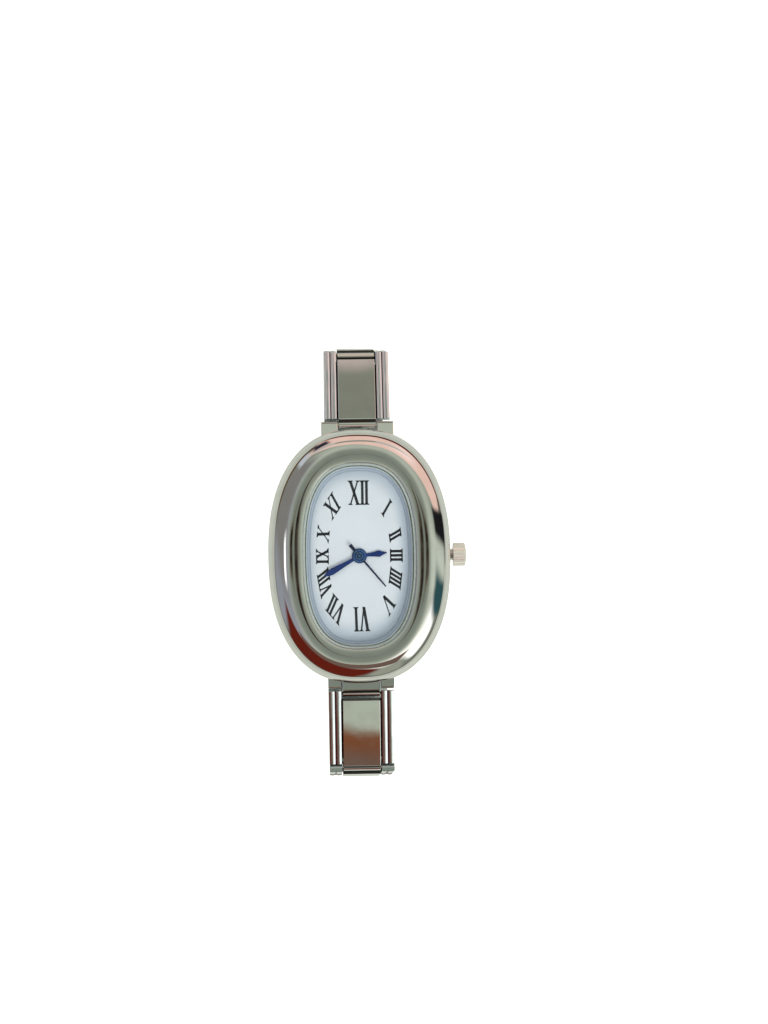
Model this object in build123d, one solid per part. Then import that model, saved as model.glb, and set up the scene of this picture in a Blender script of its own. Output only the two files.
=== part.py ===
from build123d import *
import os
from math import atan2, cos, degrees, hypot, pi, radians, sin, tan

# Oval quartz watch with a fluted crown, worn on a closed bracelet of pinned links.
# Millimetres. Origin on the hands' axis, at the outer flat face of the case back.
# +Z points out of the dial, +Y to 12 o'clock, +X to 3 o'clock.

# Case: an oval bowl whose flank rounds over a crest into a dish down to the glass
case_width = 25.0
case_length = 34.9
case_power = 2.35
widest_height = 4.5
crest_height = 7.0
crest_inset = 3.35
crest_land = 0.1
underside_height = 0.35
underside_inset = 1.5
dish_drop = 0.12
bezel_width = 4.75
glass_power = 2.6
cavity_margin = 2.9
oval_points = 40

# Glass, gasket and the ring between glass and dial
glass_height = 5.6
glass_edge = 1.0
glass_dome = 0.3
gasket_width = 0.3
gasket_height = 0.85
glass_ledge = 0.45
ring_rise = 0.55
ring_slope = 0.6
dial_height = 4.1
dial_thickness = 0.4

# Case back and its gasket
back_margin = 2.3
back_thickness = 0.7
back_chamfer = 0.25
back_rim_width = 0.7
back_rim_rise = 0.6
back_gasket_height = 0.25
back_gasket_width = 0.5

# Movement: the calibre that the sizes below are drawn for, and the holder's wall round it
calibre_width = 15.3
calibre_length = 17.8
holder_side = 1.93
holder_end = 5.65
movement_corner = 3.0
movement_base = 1.4
plate_base = 3.1
bridge_base = 1.45
bridge_thickness = 0.4
bridge_width = 9.4
bridge_length = 13.0
bridge_corner = 1.0
pillar_radius = 0.5
screw_radius = 0.25
screw_head_radius = 0.45
screw_head_height = 0.2
recess_floor = 3.5
recess_margin = 0.35

# Train: module of each mesh follows from its centre distance and its teeth
pinion_leaves = 6
rotor_distance = 2.1
intermediate_teeth = 36
intermediate_distance = 3.15
intermediate_angle = -120
seconds_teeth = 30
third_teeth = 48
third_distance = 3.1
third_angle = 60
centre_teeth = 45
cannon_teeth = 8
minute_teeth = 24
hour_teeth = 24
minute_distance = 2.4
minute_angle = 200
rotor_angle = 200
wheel_thickness = 0.15
pinion_height = 0.26
arbor_radius = 0.12
pivot_radius = 0.08
pivot_length = 0.25
train_floor = 1.95
level_step = 0.3
cannon_radius = 0.4
cannon_bore = 0.2
hour_pipe_radius = 0.68
rotor_radius = 0.7
rotor_height = 0.55

# Coil, core, stator, board, crystal can and battery
coil_inset = 1.35
coil_radius = 0.66
coil_length = 8.0
coil_middle = 1.0
core_width = 0.9
core_thickness = 0.3
core_reach = 1.9
stator_thickness = 0.3
stator_arm = 1.3
stator_ring = 0.75
stator_gap = 0.2
board_thickness = 0.25
board_width = 2.0
board_inset = 0.3
can_radius = 0.55
can_length = 4.5
battery_diameter = 6.8
battery_height = 1.62
battery_step = 0.4
battery_side = 0.35
battery_end = 0.2
clip_thickness = 0.15
clip_width = 2.4
clip_hole = 0.6

# Crown, tube, stem and setting lever
crown_height = 2.6
crown_diameter = 3.2
crown_length = 1.6
crown_stand = 0.45
crown_dome = 0.25
crown_flutes = 20
crown_recess = 1.15
crown_pull = 0.6
tube_radius = 0.75
tube_bore = 0.4
tube_reach = 1.35
oring_thickness = 0.2
oring_length = 0.25
stem_radius = 0.3
stem_depth = 3.05
clutch_length = 0.7
clutch_teeth = 8
clutch_radius = 0.55
collar_thickness = 0.15
groove_length = 0.6
lever_reach = 2.6
lever_width = 0.35
lever_thickness = 0.3
lever_hub = 0.6
lever_pin = 0.25
lug_length = 0.7
lug_width = 1.8

# Hands, with angles clockwise from 12 o'clock
hour_width = 0.86
hour_turn = 84
minute_width = 0.92
minute_turn = 241
second_width = 0.32
tail_width = 0.51
second_turn = 140
hand_thickness = 0.12
hand_lift = 0.156
hand_step = 0.26
hour_hub = 1.03
minute_hub = 0.75
second_hub = 0.42

# Bracelet link, measured from the axis of its tongue: along, up from the axis, across
upper_link_count = 7
lower_link_count = 6
link_pitch = 10.5
rail_width = 1.775
side_gap = 0.15
rail_above = 0.65
rail_below = 1.35
rail_gap = 0.2
hinge_inset = 0.4
ridge_sag = 0.14
plate_width = 5.15
plate_above = 0.9
plate_below = 0.85
plate_chamfer = 0.18
notch_depth = 1.3
tongue_radius = 0.45
pin_radius = 0.2
pin_seat = 0.9
bevel_angle = 40
hinge_height = 2.6
hinge_out_up = 0.7
hinge_out_down = 1.45
ear_width = 2.25
ear_inside = 4.5

# How the loop lies at rest: tilt of the first links, then the place of the lowest link
tilts_up = [22, 84]
tilts_down = [8, 82]
lowest_middle = -1.0

# Clearances
fit = 0.02
run = 0.05
seat_gap = 0.1
free_gap = 0.3
overrun = 1.0

# Shares of the sizes that they follow
tooth_tip_share = 0.3
tooth_top_share = 0.8
tooth_foot_share = 1.0
hour_length_share = 0.567
minute_length_share = 0.836
second_length_share = 0.821
second_tail_share = 0.299
spear_shoulder_share = 0.72
leaf_shoulder_share = 0.76
hand_neck_share = 0.5
flute_share = 0.72
pillar_shares = [(0.86, 0.91), (-0.26, 0.86), (-0.13, -0.86)]
glass_dome_shares = [1, 0.86, 0.62, 0.3]
loop_depth_share = 4.06
flank_steps = 4
underside_end_angle = 75
dish_end_angle = 30

case_half_x = case_width / 2
case_half_y = case_length / 2
glass_half_x = case_half_x - bezel_width
glass_half_y = case_half_y - bezel_width
cavity_x = case_half_x - cavity_margin - fit
cavity_y = case_half_y - cavity_margin
dial_top = dial_height + dial_thickness
ring_top = dial_top + ring_rise
dial_view = glass_half_x - glass_ledge - ring_slope
hinge_up = case_half_y + hinge_out_up
hinge_down = case_half_y + hinge_out_down
rail_inner = plate_width / 2 + side_gap
link_half = rail_inner + rail_width

# What the case leaves for the movement, and its parts drawn to that size
movement_width = 2 * (cavity_x - holder_side)
movement_length = 2 * (cavity_y - holder_end)
calibre_scale = min(movement_width / calibre_width, movement_length / calibre_length)
(bridge_width, bridge_length, bridge_corner, pillar_radius, screw_radius, screw_head_radius,
 rotor_distance, intermediate_distance, third_distance, minute_distance, arbor_radius, pivot_radius,
 cannon_radius, cannon_bore, hour_pipe_radius, rotor_radius, coil_length, coil_middle, core_reach,
 stator_arm, stator_ring, can_length, battery_diameter, stem_depth, clutch_length, collar_thickness,
 groove_length) = [size * calibre_scale for size in (
     bridge_width, bridge_length, bridge_corner, pillar_radius, screw_radius, screw_head_radius,
     rotor_distance, intermediate_distance, third_distance, minute_distance, arbor_radius, pivot_radius,
     cannon_radius, cannon_bore, hour_pipe_radius, rotor_radius, coil_length, coil_middle, core_reach,
     stator_arm, stator_ring, can_length, battery_diameter, stem_depth, clutch_length, collar_thickness,
     groove_length)]
coil_x = movement_width / 2 - coil_inset
battery_x = (movement_width - battery_diameter) / 2 - battery_side
battery_y = (movement_length - battery_diameter) / 2 - battery_end
stem_start = movement_width / 2 - stem_depth


def oval(half_x, half_y, height, power=case_power):
    """A closed smooth oval face, fuller than an ellipse, at a height."""
    points = []
    for step in range(oval_points):
        turn = 2 * pi * step / oval_points
        stretch = (abs(cos(turn)) ** power + abs(sin(turn)) ** power) ** (-1 / power)
        points.append((half_x * stretch * cos(turn), half_y * stretch * sin(turn)))
    return Pos(0, 0, height) * make_face(Spline(*points, periodic=True))


def oval_block(half_x, half_y, low, high, power=case_power):
    """An upright oval cylinder between two heights."""
    return extrude(oval(half_x, half_y, low, power), amount=high - low)


def oval_ring(half_x, half_y, width, low, high, power=case_power):
    """An oval ring whose wall has the given width."""
    inner = oval_block(half_x - width, half_y - width, low - overrun, high + overrun, power)
    return oval_block(half_x, half_y, low, high, power) - inner


def disc(radius, low, high, x=0, y=0):
    """An upright cylinder between two heights."""
    return Pos(x, y, low) * Cylinder(radius, high - low, align=(Align.CENTER, Align.CENTER, Align.MIN))


def rod(radius, start, end, y=0, z=0):
    """A cylinder along X between two places."""
    bar = Cylinder(radius, end - start, align=(Align.CENTER, Align.CENTER, Align.MIN))
    return Pos(start, y, z) * Rot(0, 90, 0) * bar


def block(x_range, y_range, z_range):
    """A box between two places on each axis."""
    spans = [x_range, y_range, z_range]
    sizes = [high - low for low, high in spans]
    middle = [(high + low) / 2 for low, high in spans]
    return Pos(*middle) * Box(*sizes)


def side_slab(points, x_low, x_high):
    """A side view in Y and Z, drawn as a closed outline and pushed along X."""
    face = make_face(Plane.YZ.offset(x_low) * Polyline(*points, close=True))
    return extrude(face, amount=x_high - x_low, dir=(1, 0, 0))


def rounded_plate(width, length, corner, low, high):
    """A flat plate with rounded corners, centred on the hands' axis."""
    return Pos(0, 0, low) * extrude(RectangleRounded(width, length, corner), amount=high - low)


def polar(distance, angle):
    """A place at a distance and an angle from +X."""
    return distance * cos(radians(angle)), distance * sin(radians(angle))


def module(distance, teeth_a, teeth_b):
    """The module of two wheels that mesh at a distance."""
    return 2 * distance / (teeth_a + teeth_b)


def gear(teeth, size, thickness, turn=0):
    """A toothed wheel: flat-topped teeth with straight flanks that meet at each root."""
    tip = size * (teeth / 2 + tooth_top_share)
    root = size * (teeth / 2 - tooth_foot_share)
    pitch = 360 / teeth
    points = []
    for tooth in range(teeth):
        middle = turn + tooth * pitch
        points.append(polar(tip, middle - tooth_tip_share * pitch / 2))
        points.append(polar(tip, middle + tooth_tip_share * pitch / 2))
        points.append(polar(root, middle + pitch / 2))
    return extrude(make_face(Polyline(*points, close=True)), amount=thickness)


def flank_sections():
    """Oval sections of the case, from its underside through the widest line to the crest."""
    sections = []
    end = radians(underside_end_angle)
    rise = widest_height - underside_height
    for step in range(flank_steps):
        angle = end * (1 - step / flank_steps)
        inset = underside_inset * (1 - cos(angle)) / (1 - cos(end))
        height = widest_height - rise * sin(angle) / sin(end)
        sections.append(oval(case_half_x - inset, case_half_y - inset, height))
    rise = crest_height - widest_height
    for step in range(flank_steps + 1):
        angle = pi / 2 * step / flank_steps
        inset = crest_inset * (1 - cos(angle))
        sections.append(oval(case_half_x - inset, case_half_y - inset, widest_height + rise * sin(angle)))
    return sections


def dish_sections():
    """Oval sections of the dish, from the edge of the glass opening up to the crest."""
    sections = []
    end = radians(dish_end_angle)
    first = crest_inset + crest_land
    for step in range(flank_steps + 1):
        angle = end * (1 - step / flank_steps)
        share = sin(angle) / sin(end)
        inset = first + (bezel_width - first) * share
        drop = dish_drop * (1 - cos(angle)) / (1 - cos(end))
        power = case_power + (glass_power - case_power) * share
        sections.append(oval(case_half_x - inset, case_half_y - inset, crest_height - drop, power))
    return sections


def ear_outline(reach):
    """Side view of an ear or a shoulder: flat below, bevelled end, rounded into the flank."""
    bevel = rail_below * tan(radians(bevel_angle))
    low = hinge_height - rail_below
    high = hinge_height + rail_above
    root = reach - ear_inside
    return [(root, low), (reach - bevel, low), (reach, hinge_height), (reach, high - rail_gap),
            (reach - rail_gap, high), (root, high + rail_above)]


def case_shell():
    """The one-piece case: flank, crest, dish, cavity, ears, shoulders and tongue."""
    shape = loft(flank_sections())
    for side in (-1, 1):
        low, high = sorted((side * rail_inner, side * (rail_inner + ear_width)))
        shape += side_slab(ear_outline(hinge_up + hinge_inset), low, high)
        shoulder = [(-y, z) for y, z in ear_outline(hinge_down - hinge_inset - rail_gap)]
        shape += side_slab(shoulder, low, high)
    shape += head_tongue()
    shape -= loft(dish_sections())
    shape -= oval_block(case_half_x - back_margin, case_half_y - back_margin,
                        underside_height - overrun, back_thickness + back_gasket_height)
    shape -= oval_block(cavity_x, cavity_y, underside_height, ring_top)
    shape -= oval_block(glass_half_x - glass_ledge, glass_half_y - glass_ledge,
                        ring_top - overrun, glass_height + overrun, glass_power)
    shape -= oval_block(glass_half_x, glass_half_y, glass_height, crest_height - dish_drop, glass_power)
    shape -= rod(tube_radius + fit, 0, case_half_x + overrun, 0, crown_height)
    for side in (-1, 1):
        shape -= pin_hole(side, hinge_up)
    return shape


def pin_hole(side, place):
    """A blind hole in an ear for one end of the hinge pin."""
    start, end = sorted((0, side * (rail_inner + pin_seat)))
    return rod(pin_radius + fit, start, end, place, hinge_height)


def head_tongue():
    """The tongue at 6 o'clock that enters the first lower link."""
    width = plate_width
    low = hinge_height - plate_below
    high = hinge_height + plate_above
    root = hinge_down - ear_inside
    outline = [(-root, low), (-(hinge_down - tongue_radius * 2), low),
               (-hinge_down, hinge_height - tongue_radius), (-hinge_down, hinge_height + tongue_radius),
               (-(hinge_down - tongue_radius), high), (-root, high)]
    shape = side_slab(outline, -width / 2, width / 2)
    shape += rod(tongue_radius, -width / 2, width / 2, -hinge_down, hinge_height)
    return shape - rod(pin_radius + run, -width, width, -hinge_down, hinge_height)


def ears_pin():
    """The pin that joins the ears at 12 o'clock to the first upper link."""
    reach = rail_inner + pin_seat - fit
    return rod(pin_radius, -reach, reach, hinge_up, hinge_height)


def case_back():
    """The snap-on back: a chamfered oval lid with a raised rim inside."""
    half_x = case_half_x - back_margin - fit
    half_y = case_half_y - back_margin - fit
    lid = loft([oval(half_x - back_chamfer, half_y - back_chamfer, 0), oval(half_x, half_y, back_chamfer)],
               ruled=True)
    lid += oval_block(half_x, half_y, back_chamfer, back_thickness)
    rim = oval_ring(cavity_x - fit, cavity_y - fit, back_rim_width, back_thickness,
                    back_thickness + back_rim_rise)
    return lid + rim


def back_gasket():
    """The flat gasket between the lid and the case."""
    return oval_ring(case_half_x - back_margin - fit, case_half_y - back_margin - fit, back_gasket_width,
                     back_thickness, back_thickness + back_gasket_height)


def crystal():
    """The domed oval glass."""
    half_x = glass_half_x - gasket_width - fit
    half_y = glass_half_y - gasket_width - fit
    edge = glass_height + glass_edge
    body = oval_block(half_x, half_y, glass_height, edge, glass_power)
    sections = [oval(half_x * share, half_y * share, edge + glass_dome * (1 - share ** 2), glass_power)
                for share in glass_dome_shares]
    return body + loft(sections, ruled=True)


def crystal_gasket():
    """The ring that holds the glass in the case."""
    return oval_ring(glass_half_x - fit, glass_half_y - fit, gasket_width - fit, glass_height,
                     glass_height + gasket_height, glass_power)


def dial_ring():
    """The inner ring whose sloping face leads from the glass down to the dial."""
    half_x = glass_half_x - glass_ledge
    half_y = glass_half_y - glass_ledge
    body = oval_block(cavity_x - seat_gap, cavity_y - seat_gap, dial_top, ring_top)
    hole = loft([oval(half_x - ring_slope, half_y - ring_slope, dial_top, glass_power),
                 oval(half_x, half_y, ring_top, glass_power)], ruled=True)
    return body - hole


def dial():
    """The oval dial plate with the hole for the hour pipe and two feet."""
    body = oval_block(cavity_x - seat_gap, cavity_y - seat_gap, dial_height, dial_top)
    body -= disc(hour_pipe_radius + run * 2, dial_height - overrun, dial_top + overrun)
    for side in (-1, 1):
        x, y = dial_foot(side)
        body += disc(screw_radius, plate_base + pivot_length, dial_height, x, y)
    return body


def dial_foot(side):
    """Where a dial foot stands, near opposite corners of the main plate."""
    return side * (movement_width - movement_corner) / 2, side * (movement_length - movement_corner) / 2


def movement_holder():
    """The plastic ring that centres the movement in the case."""
    body = oval_block(cavity_x - seat_gap, cavity_y - seat_gap, movement_base, dial_height)
    body -= rounded_plate(movement_width + seat_gap * 2, movement_length + seat_gap * 2, movement_corner,
                          movement_base - overrun, dial_height + overrun)
    return body - rod(tube_radius, 0, case_half_x, 0, crown_height)


third_place = polar(third_distance, third_angle)
intermediate_place = polar(intermediate_distance, intermediate_angle)
minute_place = polar(minute_distance, minute_angle)
rotor_step = polar(rotor_distance, rotor_angle)
rotor_place = (intermediate_place[0] + rotor_step[0], intermediate_place[1] + rotor_step[1])
battery_place = (battery_x, -battery_y)
pillars = [(across * bridge_width / 2, along * bridge_length / 2) for across, along in pillar_shares]
lever_place = (stem_start + clutch_length + collar_thickness + groove_length / 2 + crown_pull / 2,
               lever_reach + stem_radius + seat_gap)
lug_start = movement_width / 2 - seat_gap - lug_length


def main_plate():
    """The main plate: dial-side recess, bearings, pillars, lever post and stem lug."""
    shape = rounded_plate(movement_width, movement_length, movement_corner, plate_base, dial_height)
    shape -= disc(hour_module * hour_teeth / 2 + recess_margin, recess_floor, dial_height + overrun)
    shape -= disc(minute_module * minute_teeth / 2 + recess_margin, recess_floor,
                  dial_height + overrun, *minute_place)
    shape += disc(arbor_radius, plate_base, dial_height - seat_gap, *minute_place)
    shape -= disc(cannon_radius + run, plate_base - overrun, recess_floor + overrun)
    for place in (third_place, intermediate_place, rotor_place):
        shape -= disc(pivot_radius + run, plate_base - overrun, plate_base + pivot_length, *place)
    for side in (-1, 1):
        shape -= disc(screw_radius + fit, plate_base - overrun, dial_height + overrun, *dial_foot(side))
    for place in pillars:
        shape += disc(pillar_radius, bridge_base + bridge_thickness, plate_base, *place)
        shape -= disc(screw_radius + fit, bridge_base, plate_base, *place)
    lever_low = crown_height - lever_thickness / 2
    shape += disc(lever_pin, lever_low - seat_gap, plate_base, *lever_place)
    shape += block((lug_start, lug_start + lug_length), (-lug_width / 2, lug_width / 2),
                   (crown_height - lug_width / 2, plate_base))
    shape -= rod(stem_radius + run, stem_start, movement_width, 0, crown_height)
    return shape


def train_bridge():
    """The bridge under the train, with its bearings, screw holes and room for the battery."""
    top = bridge_base + bridge_thickness
    shape = rounded_plate(bridge_width, bridge_length, bridge_corner, bridge_base, top)
    shape -= disc(battery_diameter / 2 + free_gap, bridge_base - overrun, top + overrun, *battery_place)
    shape -= disc(pivot_radius + run, bridge_base + seat_gap, top + overrun)
    for place in (third_place, intermediate_place, rotor_place):
        shape -= disc(pivot_radius + run, bridge_base + seat_gap, top + overrun, *place)
    for place in pillars:
        shape -= disc(screw_radius + fit, bridge_base - overrun, top + overrun, *place)
    return shape


def bridge_screws():
    """Three screws that hold the bridge to the pillars."""
    screws = []
    for x, y in pillars:
        head = disc(screw_head_radius, bridge_base - screw_head_height, bridge_base, x, y)
        shank = disc(screw_radius, bridge_base, plate_base - seat_gap, x, y)
        slot = block((x - screw_head_radius, x + screw_head_radius), (y - pivot_radius, y + pivot_radius),
                     (bridge_base - screw_head_height, bridge_base - screw_head_height / 2))
        screws.append(head + shank - slot)
    return Compound(children=screws)


core_low = train_floor + wheel_thickness + seat_gap
stator_low = core_low + core_thickness
core_ends = (coil_middle - coil_length / 2 - core_reach, coil_middle + coil_length / 2 + core_reach)
coil_height = core_low + core_thickness / 2


def coil_core():
    """The flat iron core through the coil."""
    return block((-coil_x - core_width / 2, -coil_x + core_width / 2), core_ends,
                 (core_low, core_low + core_thickness))


def coil():
    """The wound coil between its two cheeks."""
    bar = Cylinder(coil_radius, coil_length)
    turned = Pos(-coil_x, coil_middle, coil_height) * Rot(90, 0, 0) * bar
    hollow = block((-coil_x - core_width / 2 - fit, -coil_x + core_width / 2 + fit), core_ends,
                   (core_low - fit, core_low + core_thickness + fit))
    return turned - hollow


def stator():
    """The thin iron stator that leads from the core's ends round the rotor."""
    x, y = rotor_place
    low, high = stator_low, stator_low + stator_thickness
    left = -coil_x - core_width / 2
    bottom = core_ends[0]
    top = core_ends[1]
    shape = block((left, x), (bottom, bottom + stator_arm), (low, high))
    shape += block((x - stator_arm / 2, x + stator_arm / 2), (bottom, top), (low, high))
    shape += block((left, x), (top - stator_arm, top), (low, high))
    shape += disc(rotor_radius + stator_gap + stator_ring / 2, low, high, x, y)
    return shape - disc(rotor_radius + stator_gap, low - overrun, high + overrun, x, y)


def circuit_board():
    """The thin board along two edges of the movement."""
    right = movement_width / 2 - board_inset
    top = movement_length / 2 - board_inset
    base = bridge_base + board_thickness
    high = base + board_thickness
    shape = block((-right + board_width, right), (top - board_width, top), (base, high))
    shape += block((right - board_width, right), (lug_width, top), (base, high))
    return shape & rounded_plate(right * 2, top * 2, movement_corner, base, high)


def quartz_can():
    """The small metal can of the quartz crystal, with its two legs."""
    top = movement_length / 2 - board_inset
    z = bridge_base + board_thickness * 2 + can_radius
    y = top - board_width / 2
    can = rod(can_radius, -can_length / 2, can_length / 2, y, z)
    for side in (-1, 1):
        can += rod(pivot_radius, can_length / 2, can_length / 2 + can_radius * 2,
                   y + side * can_radius / 2, z)
    return can


def battery_cell():
    """The button cell: a can with a smaller cap towards the case back."""
    radius = battery_diameter / 2
    low = plate_base - battery_height - fit
    cell = disc(radius, low + battery_step, low + battery_height, *battery_place)
    return cell + disc(radius - battery_step, low, low + battery_step, *battery_place)


def battery_clip():
    """The spring strap that holds the cell."""
    high = plate_base - battery_height - fit
    low = high - clip_thickness
    x, y = battery_place
    reach = battery_diameter / 2
    shape = block((x - reach, x + reach), (y - clip_width / 2, y + clip_width / 2), (low, high))
    return shape - disc(clip_hole, low - overrun, high + overrun, x, y)


def crown_tube():
    """The tube pressed into the case, through which the stem runs."""
    end = case_half_x + tube_reach
    start = cavity_x - seat_gap
    return rod(tube_radius, start, end, 0, crown_height) - rod(tube_bore, start, end, 0, crown_height)


crown_start = case_half_x + crown_stand
crown_end = crown_start + crown_length


def crown():
    """The fluted crown: rounded grooves round its rim, a low dome, a recess for the tube."""
    radius = crown_diameter / 2
    groove = radius * sin(pi / crown_flutes) * flute_share
    dome_radius = (radius ** 2 + crown_dome ** 2) / (2 * crown_dome)
    lines = [Line((crown_start, 0), (crown_start, radius)), Line((crown_start, radius), (crown_end, radius)),
             RadiusArc((crown_end, radius), (crown_end + crown_dome, 0), dome_radius),
             Line((crown_end + crown_dome, 0), (crown_start, 0))]
    shape = Pos(0, 0, crown_height) * revolve(make_face(lines), Axis.X)
    for flute in range(crown_flutes):
        y, z = polar(radius + groove / 2, 360 * flute / crown_flutes)
        shape -= rod(groove, crown_start - overrun, crown_end + overrun, y, crown_height + z)
    shape -= rod(tube_radius + oring_thickness, crown_start - overrun,
                 crown_start + crown_recess, 0, crown_height)
    return shape - rod(stem_radius + fit, crown_start, crown_end - crown_dome, 0, crown_height)


def crown_gasket():
    """The rubber ring that slides on the tube inside the crown."""
    start = crown_start + seat_gap
    shape = rod(tube_radius + oring_thickness - fit, start, start + oring_length, 0, crown_height)
    return shape - rod(tube_radius + fit, start - overrun, start + overrun, 0, crown_height)


def stem():
    """The winding stem with its clutch pinion and the groove for the lever."""
    shape = rod(stem_radius, stem_start, crown_end - crown_dome - fit, 0, crown_height)
    size = clutch_radius / (clutch_teeth / 2 + tooth_top_share)
    clutch = gear(clutch_teeth, size, clutch_length)
    shape += Pos(stem_start, 0, crown_height) * Rot(0, 90, 0) * clutch
    first = stem_start + clutch_length
    shape += rod(clutch_radius, first, first + collar_thickness, 0, crown_height)
    second = first + collar_thickness + groove_length
    return shape + rod(clutch_radius, second, second + collar_thickness, 0, crown_height)


def setting_lever():
    """The lever whose finger rides in the stem's groove."""
    low = -lever_thickness / 2
    shape = disc(lever_hub, low, -low)
    shape += block((-lever_width / 2, lever_width / 2), (-lever_reach, 0), (low, -low))
    shape -= disc(lever_pin + run, low - overrun, overrun)
    lean = -degrees(crown_pull / 2 / lever_reach)
    return Pos(*lever_place, crown_height) * Rot(0, 0, lean) * shape


def arbor(place, low, high):
    """A wheel's shaft with a thin pivot at each end."""
    shape = disc(arbor_radius, low, high, *place)
    shape += disc(pivot_radius, low - pivot_length, low, *place)
    return shape + disc(pivot_radius, high, high + pivot_length - run, *place)


def raised(solid, place, height):
    """A wheel moved to its place in the movement."""
    return Pos(*place, height) * solid


bridge_top = bridge_base + bridge_thickness
intermediate_level = train_floor
seconds_level = intermediate_level + level_step
third_level = seconds_level + level_step
centre_level = third_level + level_step
rotor_module = module(rotor_distance, pinion_leaves, intermediate_teeth)
seconds_module = module(intermediate_distance, pinion_leaves, seconds_teeth)
third_module = module(third_distance, pinion_leaves, third_teeth)
centre_module = module(third_distance, pinion_leaves, centre_teeth)
minute_module = module(minute_distance, cannon_teeth, minute_teeth)
hour_module = module(minute_distance, pinion_leaves, hour_teeth)
half_leaf = 180 / pinion_leaves


def rotor():
    """The magnet rotor with its pinion."""
    shape = arbor(rotor_place, bridge_top + run, plate_base - run)
    pinion = gear(pinion_leaves, rotor_module, pinion_height, rotor_angle + 180)
    shape += raised(pinion, rotor_place, intermediate_level - run)
    middle = stator_low + stator_thickness / 2
    return shape + disc(rotor_radius, middle - rotor_height / 2, middle + rotor_height / 2, *rotor_place)


def intermediate_wheel():
    """The wheel between rotor and seconds wheel."""
    turn = rotor_angle + 180 / intermediate_teeth
    wheel = gear(intermediate_teeth, rotor_module, wheel_thickness, turn)
    shape = arbor(intermediate_place, bridge_top + run, plate_base - run)
    shape += raised(wheel, intermediate_place, intermediate_level)
    pinion = gear(pinion_leaves, seconds_module, pinion_height, intermediate_angle + 180)
    return shape + raised(pinion, intermediate_place, seconds_level - run)


def seconds_wheel():
    """The seconds wheel, whose long arbor carries the second hand."""
    turn = intermediate_angle + 180 / seconds_teeth
    wheel = gear(seconds_teeth, seconds_module, wheel_thickness, turn)
    shape = disc(arbor_radius, bridge_top + run, second_low + hand_thickness)
    shape += disc(pivot_radius, bridge_top - pivot_length, bridge_top + run)
    shape += raised(wheel, (0, 0), seconds_level)
    pinion = gear(pinion_leaves, third_module, pinion_height, third_angle)
    return shape + raised(pinion, (0, 0), third_level - run)


def third_wheel():
    """The wheel between the seconds pinion and the centre wheel."""
    turn = third_angle + 180 + 180 / third_teeth
    wheel = gear(third_teeth, third_module, wheel_thickness, turn)
    shape = arbor(third_place, bridge_top + run, plate_base - run)
    shape += raised(wheel, third_place, third_level)
    pinion = gear(pinion_leaves, centre_module, pinion_height, third_angle + 180)
    return shape + raised(pinion, third_place, centre_level - run)


def centre_wheel():
    """The centre wheel with the cannon pinion and the pipe for the minute hand."""
    turn = third_angle + 180 / centre_teeth
    shape = raised(gear(centre_teeth, centre_module, wheel_thickness, turn), (0, 0), centre_level)
    shape += disc(cannon_radius, centre_level, minute_low + hand_thickness)
    cannon = gear(cannon_teeth, minute_module, pinion_height, minute_angle)
    shape += raised(cannon, (0, 0), recess_floor + run)
    return shape - disc(cannon_bore, centre_level - overrun, second_low + overrun)


def minute_wheel():
    """The motion-work wheel under the dial, with its pinion."""
    turn = minute_angle + 180 + 180 / minute_teeth
    wheel = gear(minute_teeth, minute_module, wheel_thickness, turn)
    shape = raised(wheel, minute_place, recess_floor + run)
    pinion = gear(pinion_leaves, hour_module, level_step - run, minute_angle + 180)
    shape += raised(pinion, minute_place, recess_floor + run + wheel_thickness)
    return shape - disc(arbor_radius + run, plate_base, dial_height, *minute_place)


def hour_wheel():
    """The hour wheel with the pipe that carries the hour hand."""
    low = recess_floor + level_step + run
    turn = minute_angle + 180 / hour_teeth
    shape = raised(gear(hour_teeth, hour_module, wheel_thickness, turn), (0, 0), low)
    shape += disc(hour_pipe_radius, low, hour_low + hand_thickness)
    return shape - disc(cannon_radius + run, low - overrun, hour_low + overrun)


hour_low = dial_top + hand_lift
minute_low = hour_low + hand_step
second_low = minute_low + hand_step


def turned_hand(solid, turn, height):
    """A hand drawn along +Y, turned clockwise and lifted to its level."""
    return Pos(0, 0, height) * Rot(0, 0, -turn) * solid


def blade(half_widths, thickness):
    """A flat hand from distances along it and half widths there."""
    right = [(half, along) for along, half in half_widths]
    left = [(-half, along) for along, half in reversed(half_widths) if half > 0]
    return extrude(make_face(Polyline(*right, *left, close=True)), amount=thickness)


def hour_hand():
    """The pointed spear-shaped hour hand."""
    length = dial_view * hour_length_share
    neck = hour_width / 2 * hand_neck_share
    blank = blade([(0, neck), (hour_hub, neck), (length * spear_shoulder_share, hour_width / 2),
                   (length, 0)], hand_thickness)
    blank += disc(hour_hub, 0, hand_thickness)
    blank -= disc(hour_pipe_radius + fit, -overrun, overrun)
    return turned_hand(blank, hour_turn, hour_low)


def minute_hand():
    """The long leaf-shaped minute hand."""
    length = dial_view * minute_length_share
    neck = minute_width / 2 * hand_neck_share
    blank = blade([(0, neck), (minute_hub, neck), (length * leaf_shoulder_share, minute_width / 2),
                   (length, 0)], hand_thickness)
    blank += disc(minute_hub, 0, hand_thickness)
    blank -= disc(cannon_radius + fit, -overrun, overrun)
    return turned_hand(blank, minute_turn, minute_low)


def second_hand():
    """The needle-thin second hand with a broader tail."""
    tail, length = dial_view * second_tail_share, dial_view * second_length_share
    blank = blade([(-tail, tail_width / 2), (0, second_width / 2), (length, 0)], hand_thickness)
    blank += disc(second_hub, 0, hand_thickness)
    blank -= disc(arbor_radius + fit, -overrun, overrun)
    return turned_hand(blank, second_turn, second_low)


rail_start = hinge_inset + rail_gap
rail_end = link_pitch + hinge_inset
plate_end = rail_end - notch_depth


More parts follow.
